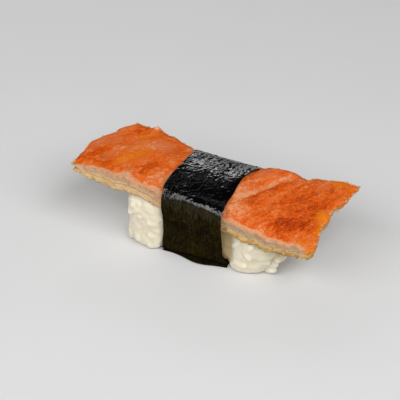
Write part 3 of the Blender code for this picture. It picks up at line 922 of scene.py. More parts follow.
@dataclass
class SalmonStrip:
    """The strip of seared salmon on its skin.

    Its top turns down into a fold behind the belt's right edge, a nub stands on its back rim,
    and its ends and sides are torn. Depth runs from 0 on top to 1 beneath.
    """

    belt: Belt
    length: float = 88.0
    width: float = 28.0
    # The outlines of its ends.
    left_shares: Row = (0.0, 0.2, 0.4, 0.5, 0.6, 0.7, 0.8, 0.9, 1.0)
    left_xs: Row = (-46.8, -45.9, -46.3, -46.1, -44.0, -41.7, -40.9, -39.2, -36.8)
    right_shares: Row = (
        0.0, 0.07, 0.15, 0.25, 0.36, 0.46, 0.52, 0.64, 0.74, 0.82, 0.92, 1.0,
    )
    right_xs: Row = (
        39.9, 41.6, 41.3, 41.0, 39.9, 41.3, 40.7, 41.2, 43.2, 43.6, 44.0, 45.0,
    )
    end_bevel: float = 0.6
    tip_bevel: float = 1.5
    # The fold, and the lobes behind it, each with its x, y, rise and radius.
    fold_ys: Row = (-12.0, -5.3, -1.9, 3.5, 6.9, 10.2, 15.3)
    fold_xs: Row = (5.8, 9.9, 11.9, 14.8, 17.3, 20.3, 25.5)
    fold_turn: float = 0.8
    fold_depth: float = 1.3
    fold_width: float = 2.3
    fold_start: float = 10.0
    lobes: Rows = (
        (17.5, 12.5, 2.1, 5.2), (12.6, 13.6, 0.75, 3.0), (22.8, 15.0, 0.8, 2.6),
    )
    crease_depth: float = 0.4
    crease_aside: float = 1.6
    crease_width: float = 0.7
    lip_height: float = 0.2
    lip_aside: float = 2.1
    lip_width: float = 1.5
    # The nub, and the low lumps of the top.
    nub_point: Pair = (-28.5, 14.2)
    nub_height: float = 1.9
    nub_radius: float = 1.6
    lump_height: float = 0.45
    lump_size: float = 9.0
    # Its thickness.
    uneven_thickness: float = 0.08
    end_thinning: float = 0.45
    end_stretch: Pair = (26.0, 42.0)
    pinch_x: float = -20.0
    pinch_reach: float = 6.0
    pinch_depth: float = 1.9
    # Its ragged outline and its rounded rims.
    rag_depth: float = 0.8
    rag_size: float = 4.0
    rag_span: float = 26.0
    torn_end: float = 0.55
    torn_side: float = 0.4
    torn_size: float = 1.6
    torn_end_fade: float = 1.5
    torn_side_fade: float = 1.2
    rim_drop: float = 0.9
    rim_width: float = 1.3
    squeeze_reach: float = 5.0
    squeeze_drop: float = 1.2
    squeeze_width: float = 0.7
    tip_reach: float = 2.4
    tip_lift: float = 0.8
    tip_sink: float = 0.5
    # The relief of the top, of the cut side and of the underside.
    swells: float = 0.22
    swell_size: float = 3.2
    pebbles: float = 0.09
    pebble_size: float = 1.0
    grit_size: float = 0.6
    fibres: float = 0.1
    fibre_size: Row = (4.0, 0.8, 1.2)
    side_lumps: float = 0.3
    side_lump_size: Row = (2.4, 2.4, 1.8)
    side_flakes: float = 0.4
    side_flake_size: float = 0.9
    side_flake_squeeze: Row = (0.5, 0.8, 1.0)
    crumbled: float = 0.6
    crumbled_size: float = 1.6
    crumbled_reach: float = 0.9
    under_height: float = 0.12
    under_size: float = 2.2
    # How strongly each form is painted. The slopes and the corner are patches.
    even_reach: Pair = (0.0, -14.0)
    base_sear: float = 0.45
    right_sear: float = 0.08
    left_sear: float = 0.05
    # Painted shade in the fold's crease.
    crease_shade_darkening: float = 0.25
    # Painted highlight on the lit slope above the fold's crease.
    lit_slope_highlight: float = 0.34
    streak_paleness: float = 0.1
    base_amber: float = 0.08
    end_amber: float = 0.34
    # Painted shade in the fold's crease, in grey.
    crease_shade_greying: float = 0.4
    face_paleness: float = 0.65
    corner_sear: float = 0.8
    seared_corner: Row = (40.5, -12.5, 2.5, 3.5, 1.0)
    slopes: Rows = (
        (-25.0, -11.0, 4.0, 2.5, 1.2), (-36.0, -11.8, 7.0, 2.0, 0.85),
        (-26.8, -9.6, 2.6, 1.8, 0.9), (-14.5, -12.0, 4.0, 2.2, 1.6),
    )
    toast_x: float = 11.6
    # The crumbs and the flakes along its edges.
    crumb_count: int = 420
    crumb_sizes: Pair = (0.16, 0.42)
    crumb_depth: float = 0.93
    flake_count: int = 420
    flake_sizes: Pair = (0.15, 0.34)
    crumb_seed: int = 11
    # How finely it is built.
    cell: float = 0.28
    skin_cell: float = 1.35
    wall_rows: int = 7

    def __post_init__(self) -> None:
        """Eases the table of stations, one curve a column."""
        rows = np.array(STATIONS)
        self.column = {
            name: Eased(rows[:, 0], rows[:, i]) for i, name in enumerate(STATION_COLUMNS) if i
        }
        self.left_end = Eased(self.left_shares, self.left_xs)
        self.right_end = Eased(self.right_shares, self.right_xs)
        self.fold_line = Eased(self.fold_ys, self.fold_xs)

    def fold_aside(self, x: Array, y: Array) -> Array:
        """How far a point lies to the right of the fold."""
        return (x - self.fold_line(y)) * self.fold_turn

    def top(self, x: Array, y: Array) -> Array:
        """The height of the strip's top, before its rims are rounded.

        Args:
            x: Where along the strip.
            y: Where across it.

        Returns:
            The heights.
        """
        front = self.column["front"](x)
        v = np.clip((y - front) / (self.column["back"](x) - front), -0.1, 1.1)
        low, high = self.column["z_front"](x), self.column["z_back"](x)
        crown = self.column["z_middle"](x) - 0.5 * (low + high)
        height = blend(low, high, v) + crown * 4 * v * (1 - v)
        begun = 1 / (1 + np.exp(self.fold_start - x))
        height = height - begun * self.fold_depth * bump(self.fold_aside(x, y), self.fold_width)
        bare = self.belt.bare(x)
        clear = np.clip(2.5 * self.belt.outside(x), 0.0, 1.0)
        for lobe_x, lobe_y, rise, radius in self.lobes:
            height = height + rise * bump(np.hypot(x - lobe_x, y - lobe_y), radius) * clear
        nub = np.hypot(x - self.nub_point[0], y - self.nub_point[1])
        height = height + self.nub_height * bump(nub, self.nub_radius)
        lumps = rough(flat_points(x, y), self.lump_size)
        return height + self.lump_height * lumps * bare

    def thickness(self, x: Array, y: Array) -> Array:
        """How thick the whole strip is.

        Args:
            x: Where along the strip.
            y: Where across it.

        Returns:
            The thicknesses.
        """
        lumps = rough(flat_points(x, y, 20.0), self.lump_size)
        v = np.clip((y + 12.0) / self.width, 0.0, 1.0)
        thin = self.end_thinning * v * ease(x, *self.end_stretch)
        pinch = self.pinch_depth * bump(x - self.pinch_x, self.pinch_reach) * ease(y, -5.0, -12.0)
        share = 1 + self.uneven_thickness * lumps - thin
        return self.column["thick"](x) * share - pinch

    def underside(self, x: Array, y: Array) -> Array:
        """The height of the strip's underside."""
        return self.top(x, y) - self.thickness(x, y)

    def rag(self, x: Value, y: Value, z: float) -> Array:
        """How far the torn outline strays at these places."""
        return self.rag_depth * rough(flat_points(x, y, z), self.rag_size)

    def point(self, u: Array, v: Array, depth: Array) -> Array:
        """Points of the strip.

        Args:
            u: Where along it, from 0 to 1.
            v: Where across it, from 0 in front to 1 behind.
            depth: From 0 on top to 1 beneath.

        Returns:
            The points, in millimetres.
        """
        u, v, depth = np.broadcast_arrays(u, v, depth)
        wide = v * self.rag_span
        left = self.left_end(v) + 0.5 * self.rag(-40.0, wide, 1.7)
        left = left + self.tip_bevel * depth * ease(v, 0.4, 0.0)
        right = self.right_end(v) + self.rag(40.0, wide, 2.9)
        right = right - self.end_bevel * depth * ease(v, 0.0, 0.25)
        x = blend(left, right, u)
        bare = self.belt.bare(x)
        front = self.column["front"](x) + bare * self.rag(x, 0.0, 3.1)
        back = self.column["back"](x) + bare * self.rag(x, 9.0, 5.3)
        slant = self.column["slant"](x) * depth
        y = blend(front - slant, back + 0.4 * slant, v)
        side = np.minimum(v, 1 - v) * (back - front)
        end = np.minimum(u, 1 - u) * (right - left)
        squeezed = ease(self.belt.outside(x), self.squeeze_reach, 0.0) * ease(v, 0.7, 0.4)
        drop = self.rim_drop * (1 + self.squeeze_drop * squeezed)
        width = self.rim_width * (1 + self.squeeze_width * squeezed)
        rim = drop * bump(np.minimum(side, end) / width, 1.0) * (1 - depth)
        torn_x = self.torn_end * layered(flat_points(0.0, y, 8.0 + 3 * depth), self.torn_size, 3)
        torn_y = self.torn_side * layered(flat_points(x, 0.0, 4.0 + 3 * depth), self.torn_size, 3)
        x = x + torn_x * np.exp(-end / self.torn_end_fade) * np.sign(u - 0.5)
        y = y + torn_y * np.exp(-side / self.torn_side_fade) * bare * np.sign(v - 0.5)
        z = self.top(x, y) - rim - self.thickness(x, y) * depth
        return np.stack([x, y, z], axis=-1)

    @staticmethod
    def spacing(length: float, cell: float) -> Array:
        """Shares along a length, closer together near its ends.

        Args:
            length: The length in millimetres.
            cell: The step in its middle.

        Returns:
            Shares from 0 to 1.
        """
        steps = round(length / cell)
        even = np.linspace(0.0, 1.0, steps + 1)
        tight = np.array((0.0, 0.12, 0.26, 0.42, 0.6, 0.8)) / length * 1.5
        inner = even[(even > tight[-1] + 0.4 / length) & (even < 1 - tight[-1] - 0.4 / length)]
        return np.concatenate([tight, inner, 1 - tight[::-1]])

    def shell(self, layer: Layer, cell: float) -> Surface:
        """The closed surface of one layer.

        Args:
            layer: Which layer.
            cell: How large its cells are, in millimetres.

        Returns:
            The surface, with u, v and depth as masks.
        """
        us, vs = self.spacing(self.length, cell), self.spacing(self.width, cell)
        high, low = layer.value
        rows, columns = len(vs), len(us)
        u_grid, v_grid = np.meshgrid(us, vs)
        faces = grid_faces(rows, columns)
        index = np.arange(rows * columns).reshape(rows, columns)
        ring = np.concatenate([index[0, :-1], index[:-1, -1], index[-1, :0:-1], index[:0:-1, 0]])
        size, count = rows * columns, len(ring)
        shares = np.linspace(0, 1, self.wall_rows + 1)[1:-1]
        between = [2 * size + k * count + np.arange(count) for k in range(len(shares))]
        levels = [ring, *between, ring + size]
        walls = []
        for upper, lower in zip(levels, levels[1:]):
            quads = (upper, lower, np.roll(lower, -1), np.roll(upper, -1))
            walls.append(np.stack(quads, axis=-1))
        u_flat, v_flat = u_grid.ravel(), v_grid.ravel()
        u_all = np.concatenate([u_flat, u_flat, np.tile(u_flat[ring], len(shares))])
        v_all = np.concatenate([v_flat, v_flat, np.tile(v_flat[ring], len(shares))])
        share_all = np.concatenate([np.zeros(size), np.ones(size), np.repeat(shares, count)])
        depth = blend(high, low, share_all)
        points = self.point(u_all, v_all, depth)
        tip = bump(u_all * self.length, self.tip_reach) * np.clip(1 - 3 * v_all, 0, 1)
        if layer is Layer.FLESH:
            points[:, 2] += self.tip_lift * tip * share_all
        else:
            points[:, 2] -= self.tip_sink * tip * (1 - share_all)
        wall = np.repeat((0.0, 0.0, 1.0), (size, size, len(shares) * count))
        wall[ring] = wall[ring + size] = 0.6
        bottom = np.repeat((0.0, 1.0, 0.0), (size, size, len(shares) * count))
        masks = {"u": u_all, "v": v_all, "depth": depth, "wall": wall, "bottom": bottom}
        caps = [faces, faces[:, ::-1] + size]
        if layer is Layer.SKIN:
            caps.reverse()
        return Surface(points, np.concatenate([*walls, *caps]), masks, hidden=len(faces))

    def inside(self, surface: Surface) -> Array:
        """How far each point lies from the strip's outline, in millimetres."""
        u, v = surface.masks["u"], surface.masks["v"]
        return np.minimum(np.minimum(u, 1 - u) * self.length, np.minimum(v, 1 - v) * self.width)

    def flaky(self, points: Array) -> Array:
        """How far the cut side's lumps and flakes stand out.

        Args:
            points: The points, one a row.

        Returns:
            The height at each.
        """
        lumps = self.side_lumps * rough(points, self.side_lump_size, 51.0)
        flakes = layered(points * self.side_flake_squeeze, self.side_flake_size, 2, 23.0)
        return lumps + self.side_flakes * flakes

    def toasted(self, surface: Surface) -> Array:
        """How brown the side is beside the belt, at the foot of the flesh.

        Args:
            surface: The flesh or the skin.

        Returns:
            How brown each point is.
        """
        x, y, _ = surface.points.T
        foot = bump(surface.masks["depth"] - 0.72, 0.16)
        return 1.3 * bump(x - self.toast_x, 1.3) * foot * (y < 0)

    @staticmethod
    def uneven_depth(surface: Surface) -> Array:
        """The depth of each point as the side's colours have it, wavy along the side."""
        return surface.masks["depth"] * (0.9 + 0.25 * rough(surface.points, (7.0, 3.0, 3.0), 31.0))

    def flesh_height(self, surface: Surface, aside: Array, begun: Array) -> Array:
        """How far each point of the flesh stands out: lumps, pebbles, fibres and the fold's crease.

        Args:
            surface: The flesh.
            aside: How far each point lies to the right of the fold.
            begun: Where the fold has begun.

        Returns:
            The heights.
        """
        upper = (1 - surface.masks["bottom"]) * ease(surface.masks["depth"], SEAM, 0.3)
        crease = -self.crease_depth * bump(aside - self.crease_aside, self.crease_width)
        crease = crease + self.lip_height * bump(aside + self.lip_aside, self.lip_width)
        low_lumps = self.swells * layered(surface.points, self.swell_size, 2, 3.0)
        pebbles = self.pebbles * rough(surface.points, self.pebble_size, 11.0)
        pebbles = pebbles + self.pebbles * rough(surface.points, self.grit_size, 5.0)
        turned = surface.points @ np.array(((0.85, -0.53, 0.0), (0.53, 0.85, 0.0), (0.0, 0.0, 1.0)))
        fibres = self.fibres * rough(turned, self.fibre_size, 17.0)
        bare = self.belt.bare(surface.points[:, 0])
        height = (low_lumps + pebbles + fibres + crease * begun) * bare * upper
        return height + surface.masks["wall"] * self.flaky(surface.points) * bare

    def build_flesh(self) -> bpy.types.Object:
        """Builds and dresses the orange upper layer.

        Returns:
            The piece.
        """
        surface = self.shell(Layer.FLESH, self.cell)
        x, y, _ = surface.points.T
        u, v, depth = (surface.masks[name] for name in ("u", "v", "depth"))
        inside = self.inside(surface)
        aside = self.fold_aside(x, y)
        begun = 1 / (1 + np.exp(1.2 * (self.fold_start - x)))
        surface.swell(self.flesh_height(surface, aside, begun))
        masks = {name: painted(rows, x, y) for name, rows in TINTS.items()}
        # Painted highlight: the slope above the crease, which faces the light, is painted paler.
        lit_slope = bump(aside - 0.3, 1.5) * begun * ease(y, 15.0, 10.0)
        streaks = bump(aside + 3.0, 0.5) * begun + 0.7 * bump(aside + 4.8, 0.5) * begun
        # Painted shade: the fold's crease is painted darker and greyer.
        crease_shade = bump(aside - 2.1, 0.4) * begun * ease(y, 12.0, 8.0)
        left = ease(x, *self.even_reach)
        right = ease(x, 0.0, 18.0)
        masks["sear"] += self.base_sear + self.right_sear * right + self.left_sear * left
        masks["sear"] += self.crease_shade_darkening * crease_shade
        masks["sear"] -= self.lit_slope_highlight * lit_slope + self.streak_paleness * streaks
        torn = np.exp(-(1 - u) * self.length / 2.0)
        masks["amber"] += self.base_amber + self.end_amber * torn
        masks["smoke_and_shade"] += self.crease_shade_greying * crease_shade
        drop = depth / SEAM * 3.0 - inside * (depth <= 0)
        rim = 0.45 * ease(x, 9.0, 12.0) * (v < 0.5)
        slopes = painted(self.slopes, x, y)
        end_face = ease(1 - u, 0.03, 0.0) * (v > 0.03)
        corner = Patch(*self.seared_corner).at(x, y)
        side = ease(drop + slopes + rim, -1.0, 1.1)
        masks["side"] = side * (1 - self.face_paleness * end_face)
        masks["side"] *= 1 - self.corner_sear * corner
        grey = 0.5 + 0.55 * ease(x, 8.0, 13.0) - 0.35 * ease(x, -41.0, -46.0)
        masks["lilac"] = bump(depth - 0.35, 0.15) * grey + 0.5 * bump(depth - 0.08, 0.2) * left
        masks["depth"] = self.uneven_depth(surface) * (1 - 0.2 * left) + 0.04 * left
        masks["toast"] = self.toasted(surface)
        masks["even"] = left
        nub = bump(np.hypot(x - self.nub_point[0], y - self.nub_point[1]), 1.8)
        rims = np.where((u < 0.02) | (u > 0.98), ease(v, 0.1, 0.4), v > 0.5)
        rims = rims * (1 - 0.6 * ease(u, 0.95, 0.98))
        masks["crust"] = np.maximum(np.exp(-inside / 0.6 - depth / 0.1) * rims, nub)
        surface.masks = masks
        return surface.make("seared_salmon", SearedFlesh().material())

    def build_skin(self) -> bpy.types.Object:
        """Builds and dresses the pale lower layer with its crumbly edge.

        Returns:
            The piece.
        """
        surface = self.shell(Layer.SKIN, self.cell * self.skin_cell)
        x = surface.points[:, 0]
        left = ease(x, *self.even_reach)
        depth, bottom = surface.masks["depth"], surface.masks["bottom"]
        inside = self.inside(surface)
        lumps = np.abs(layered(surface.points, self.crumbled_size, 3, 41.0))
        crumbs = self.crumbled * lumps - 0.1
        crumbs = crumbs * ease(depth, 0.7, 1.0) * np.exp(-inside / self.crumbled_reach)
        flakes = self.flaky(surface.points) * surface.masks["wall"]
        beneath = self.under_height * layered(surface.points, self.under_size, 3, 2.0) * bottom
        surface.swell((crumbs + flakes + beneath) * self.belt.bare(x))
        surface.masks = {
            "depth": self.uneven_depth(surface) * (1 - 0.2 * left - 0.3 * bump(x + 16.0, 7.0)),
            "toast": self.toasted(surface) - 0.2 * left,
            "even": left,
            "under": bottom * ease(inside, 0.4, 2.5),
        }
        return surface.make("grilled_skin", GrilledSkin().material())

    def build_crumbs(self) -> bpy.types.Object:
        """Builds the golden crumbs that cling to the lower edge, and a few flakes at the top's rim.

        Returns:
            The piece.
        """
        rng = random.Random(self.crumb_seed)
        ball = unit_ball(8, 6)
        crumbs = []
        for number in range(self.crumb_count + self.flake_count):
            on_top = number >= self.crumb_count
            weights = (0.0 if on_top else self.length, self.width, self.length, self.width)
            side = rng.choices(range(4), weights=weights)[0]
            along = rng.random()
            u, v = ((along, 0.004), (0.998, along), (along, 0.996), (0.002, along))[side]
            share = rng.random()
            depth = 0.12 * share if on_top else self.crumb_depth - 0.3 * share**2
            centre = self.point(np.array(u), np.array(v), np.array(depth))
            if float(self.belt.bare(centre[0])) < 1.0:
                continue
            if rough(centre, 6.0, 9.0) < -0.25 + 0.5 * rng.random():
                continue
            size = rng.uniform(*(self.flake_sizes if on_top else self.crumb_sizes))
            spread = np.array([rng.uniform(0.6, 1.5) for _ in range(3)])
            shape = ball.points * spread * size
            shape = shape * (1 + 0.8 * rough(shape + 10 * rng.random(), 0.45))[:, None]
            brown = 1.1 if centre[0] > 0 else 0.85
            tone = rng.uniform(0.35, 0.7) if on_top else rng.uniform(0.4, brown)
            masks = {"depth": np.full(len(shape), tone), "under": np.zeros(len(shape))}
            crumbs.append(Surface(shape + centre, ball.faces, masks))
        return joined(crumbs).make("golden_crumbs", GrilledSkin().material())


def unit_ball(around: int, rings: int) -> Surface:
    """A ball of radius 1 with its poles on Z, in triangles.

    Args:
        around: How many points each ring has.
        rings: How many rings lie between the poles.

    Returns:
        The ball.
    """
    points = [(0.0, 0.0, 1.0)]
    for ring in range(rings):
        polar = math.pi * (ring + 1) / (rings + 1)
        for step in range(around):
            turn = math.tau * (step + 0.5 * (ring % 2)) / around
            wide = math.sin(polar)
            points.append((wide * math.cos(turn), wide * math.sin(turn), math.cos(polar)))
    points.append((0.0, 0.0, -1.0))
    faces = []
    end = len(points) - 1
    for step in range(around):
        after = (step + 1) % around
        faces.append((0, 1 + step, 1 + after))
        faces.append((end, end - around + after, end - around + step))
        for ring in range(rings - 1):
            a, b = 1 + ring * around + step, 1 + ring * around + after
            c, d = a + around, b + around
            faces += [(a, c, b), (b, c, d)] if ring % 2 == 0 else [(a, c, d), (a, d, b)]
    return Surface(np.array(points), np.array(faces), {})


@dataclass
class SeaweedBelt:
    """The belt: one sheet wound round the rice and the strip, its ends lapped beneath."""

    belt: Belt
    strip: SalmonStrip
    thick: float = 0.2
    cad_thick: float = 0.5
    width: float = 22.8
    # Its path round the rice. A row of the walls holds z, the front wall's y at the belt's left
    # and right edge, and the back wall's. A row of the front shoulder holds how far in it lies
    # at the left edge, in the middle and at the right edge, and its share of the rise there.
    walls: Rows = (
        (2.8, -13.8, -12.2, 11.6, 13.2),
        (6.5, -12.8, -13.4, 11.8, 13.6),
        (11.5, -12.7, -14.3, 12.4, 14.4),
        (16.5, -14.1, -15.0, 14.4, 15.6),
        (20.6, -14.2, -14.8, 14.6, 15.6),
    )
    lift: float = 0.5
    over: Row = (-9.6, -4.8, 0.0, 4.8, 10.4)
    front_shoulder: Rows = (
        (0.3, 0.3, 0.2, 0.2, 0.28, 0.25),
        (1.3, 1.0, 0.8, 0.5, 0.6, 0.5),
        (2.9, 2.4, 2.3, 0.86, 0.85, 0.88),
    )
    shoulder_in: float = 1.0
    shoulder_up: float = 0.5
    corner: float = 0.8
    tuck: float = 9.0
    # The lip of its outer end, and its torn and flared edges.
    lip: float = 2.6
    lip_rise: float = 0.3
    lip_share: float = 0.62
    lip_spread: float = 0.3
    flare: float = 1.3
    torn: float = 0.22
    # Its relief.
    bend: float = 0.8
    bend_size: float = 2.5
    ridge: float = 0.12
    ridge_size: Row = (3.4, 2.0, 2.6)
    crease: float = 0.17
    crease_size: Row = (1.4, 1.0, 1.2)
    wrinkle: float = 0.045
    wrinkle_size: float = 0.7
    swell: float = 0.16
    swell_size: Row = (6.0, 6.0, 5.0)
    ripple: float = 0.05
    ripple_size: Row = (0.8, 3.0, 3.0)
    pleat: float = 0.07
    pleat_size: Row = (0.7, 6.0, 2.5)
    relief_share: float = 0.9
    plain_foot: Pair = (1.5, 3.5)
    # Where it shines, and where a sheen is painted on its front below the shoulder.
    front_ys: Pair = (-8.0, -11.0)
    gloss_xs: Row = (-11.0, -3.0, 3.0)
    gloss_shares: Row = (0.55, 0.8, 1.0)
    painted_sheen_zs: Pair = (15.0, 21.5)
    # How finely it is built.
    columns: int = 100
    rows: int = 450

    def section(self, x: float, share: float) -> Array:
        """The sheet's path at one x, from its tucked end, round, to its outer end.

        Args:
            x: Where along the strip.
            share: The same from 0 at the left edge to 1 at the right one.

        Returns:
            Rows of y and z at even steps.
        """
        out = 0.5 * self.cad_thick
        fronts = [(blend(w[1], w[2], share) - out, w[0]) for w in self.walls]
        backs = [(blend(w[3], w[4], share) + out, w[0]) for w in self.walls]
        ys = np.array(self.over)
        tops = self.strip.top(np.full(len(ys), x), ys) + self.lift + out
        over = list(zip(ys, tops))
        front_shoulder = []
        for stop in self.front_shoulder:
            parts = stop[:3], stop[3:]
            inward, upward = (float(np.interp(share, (0.0, 0.5, 1.0), part)) for part in parts)
            front_shoulder.append((fronts[-1][0] + inward, blend(fronts[-1][1], tops[0], upward)))
        raised = blend(backs[-1][1], tops[-1], self.shoulder_up)
        back_shoulder = (backs[-1][0] - self.shoulder_in, raised)
        toe, heel = fronts[0][0], backs[0][0]
        inner, outer = self.cad_thick + 0.35, 0.5 * self.thick + 0.02
        tuck = [(toe + reach, inner) for reach in (self.tuck, 0.5 * self.tuck, self.corner)]
        soles = (heel - self.corner, heel - self.tuck, toe + self.tuck, toe + 1.2)
        flat = [(y, outer) for y in soles]
        lapped = bump(share - self.lip_share, self.lip_spread)
        lip = (toe + 0.5 - self.lip * lapped, outer + 0.12 + self.lip_rise * lapped)
        up = [*tuck, *fronts, *front_shoulder]
        path = [*up, *over, back_shoulder, *reversed(backs), (heel - 0.4, 0.8), *flat, lip]
        line = evenly(smooth_line(path), self.rows)
        line[:, 1] = np.maximum(line[:, 1], outer)
        return line

    def sheet(self) -> Surface:
        """The smooth sheet, with its torn edges and its flared foot.

        Returns:
            The sheet.
        """
        shares = np.linspace(0.0, 1.0, self.columns + 1)
        lines = [self.section(blend(self.belt.left, self.belt.right, s), s) for s in shares]
        y, z = np.moveaxis(np.stack(lines, axis=1), -1, 0)
        share = np.broadcast_to(shares, y.shape)
        points = np.stack([self.belt.edge(share, y), y, z], axis=-1).reshape(-1, 3)
        share = share.ravel()
        border = np.minimum(share, 1 - share) * self.width
        along = flat_points(np.sign(share - 0.5) * 20, points[:, 1], points[:, 2])
        points[:, 0] += self.torn * layered(along, 4.0, 4) * np.exp(-border / 1.5)
        flare = self.flare * ease(points[:, 2], 6.0, 0.0) * ease(share, 0.8, 1.0)
        points[:, 0] += flare * (points[:, 1] < 0)
        return Surface(points, grid_faces(self.rows + 1, self.columns + 1), {})

    def relief(self, points: Array, top: Array) -> Array:
        """How far the sheet stands out: crumpled on top, softly pleated on its sides.

        Args:
            points: The sheet's points.
            top: Where it lies on top of the strip.

        Returns:
            The heights.
        """
        slanted = points @ np.array(((0.8, 0.6, 0.0), (-0.6, 0.8, 0.0), (0.0, 0.0, 1.0))).T
        shifts = (21.0, 22.0, 23.0)
        bends = np.stack([rough(points, self.bend_size, shift) for shift in shifts], axis=-1)
        bent = slanted + self.bend * bends
        ridges = (1 - np.abs(rough(bent, self.ridge_size, 3.0))) ** 4
        creases = (1 - np.abs(rough(bent, self.crease_size, 8.0))) ** 3
        strong = np.clip(0.55 + 1.6 * rough(points, 4.5, 1.0), 0.1, 1.3)
        strong = strong + 0.4 * ease(points[:, 1], -3.0, 4.0)
        wrinkles = self.ridge * ridges * strong + self.crease * creases * (0.4 + 0.6 * strong)
        wrinkles = wrinkles + self.wrinkle * rough(bent, self.wrinkle_size, 33.0)
        swells = self.swell * rough(points, self.swell_size, 6.0)
        swells = swells + self.ripple * rough(points, self.ripple_size, 12.0)
        pleats = self.pleat * rough(points, self.pleat_size, 19.0)
        return wrinkles * top + (swells + pleats) * (1 - 0.5 * top)

    def build(self) -> bpy.types.Object:
        """Builds and dresses the belt.

        Returns:
            The piece.
        """
        surface = self.sheet()
        upward = np.clip(surface.normals()[:, 2], -1, 1)
        x, y, z = surface.points.T
        top, shoulder = ease(upward, 0.35, 0.9), ease(upward, 0.1, 0.5)
        above = ease(z, *self.plain_foot)
        surface.swell(self.relief(surface.points, top) * above * self.relief_share)
        front = ease(y, *self.front_ys)
        bright = np.interp(x, self.gloss_xs, self.gloss_shares)
        fade = blend(shoulder, bright * ease(upward, 0.42, 0.76), front)
        gloss = fade * above * (0.75 + 0.3 * ease(y, -2.0, 6.0))
        # Painted highlight: where the sheen below the front shoulder is painted.
        painted_sheen = front * ease(z, *self.painted_sheen_zs)
        surface.masks = {"top": top * above, "gloss": gloss, "painted_sheen": painted_sheen}
        piece = surface.make("seaweed_belt", RoastedSeaweed().material())
        solidify = piece.modifiers.new("thickness", "SOLIDIFY")
        solidify.thickness = self.thick * MM
        solidify.offset = 0.0
        return piece


# The layout that every grain shares.
GRAIN_BALL = unit_ball(10, 9)


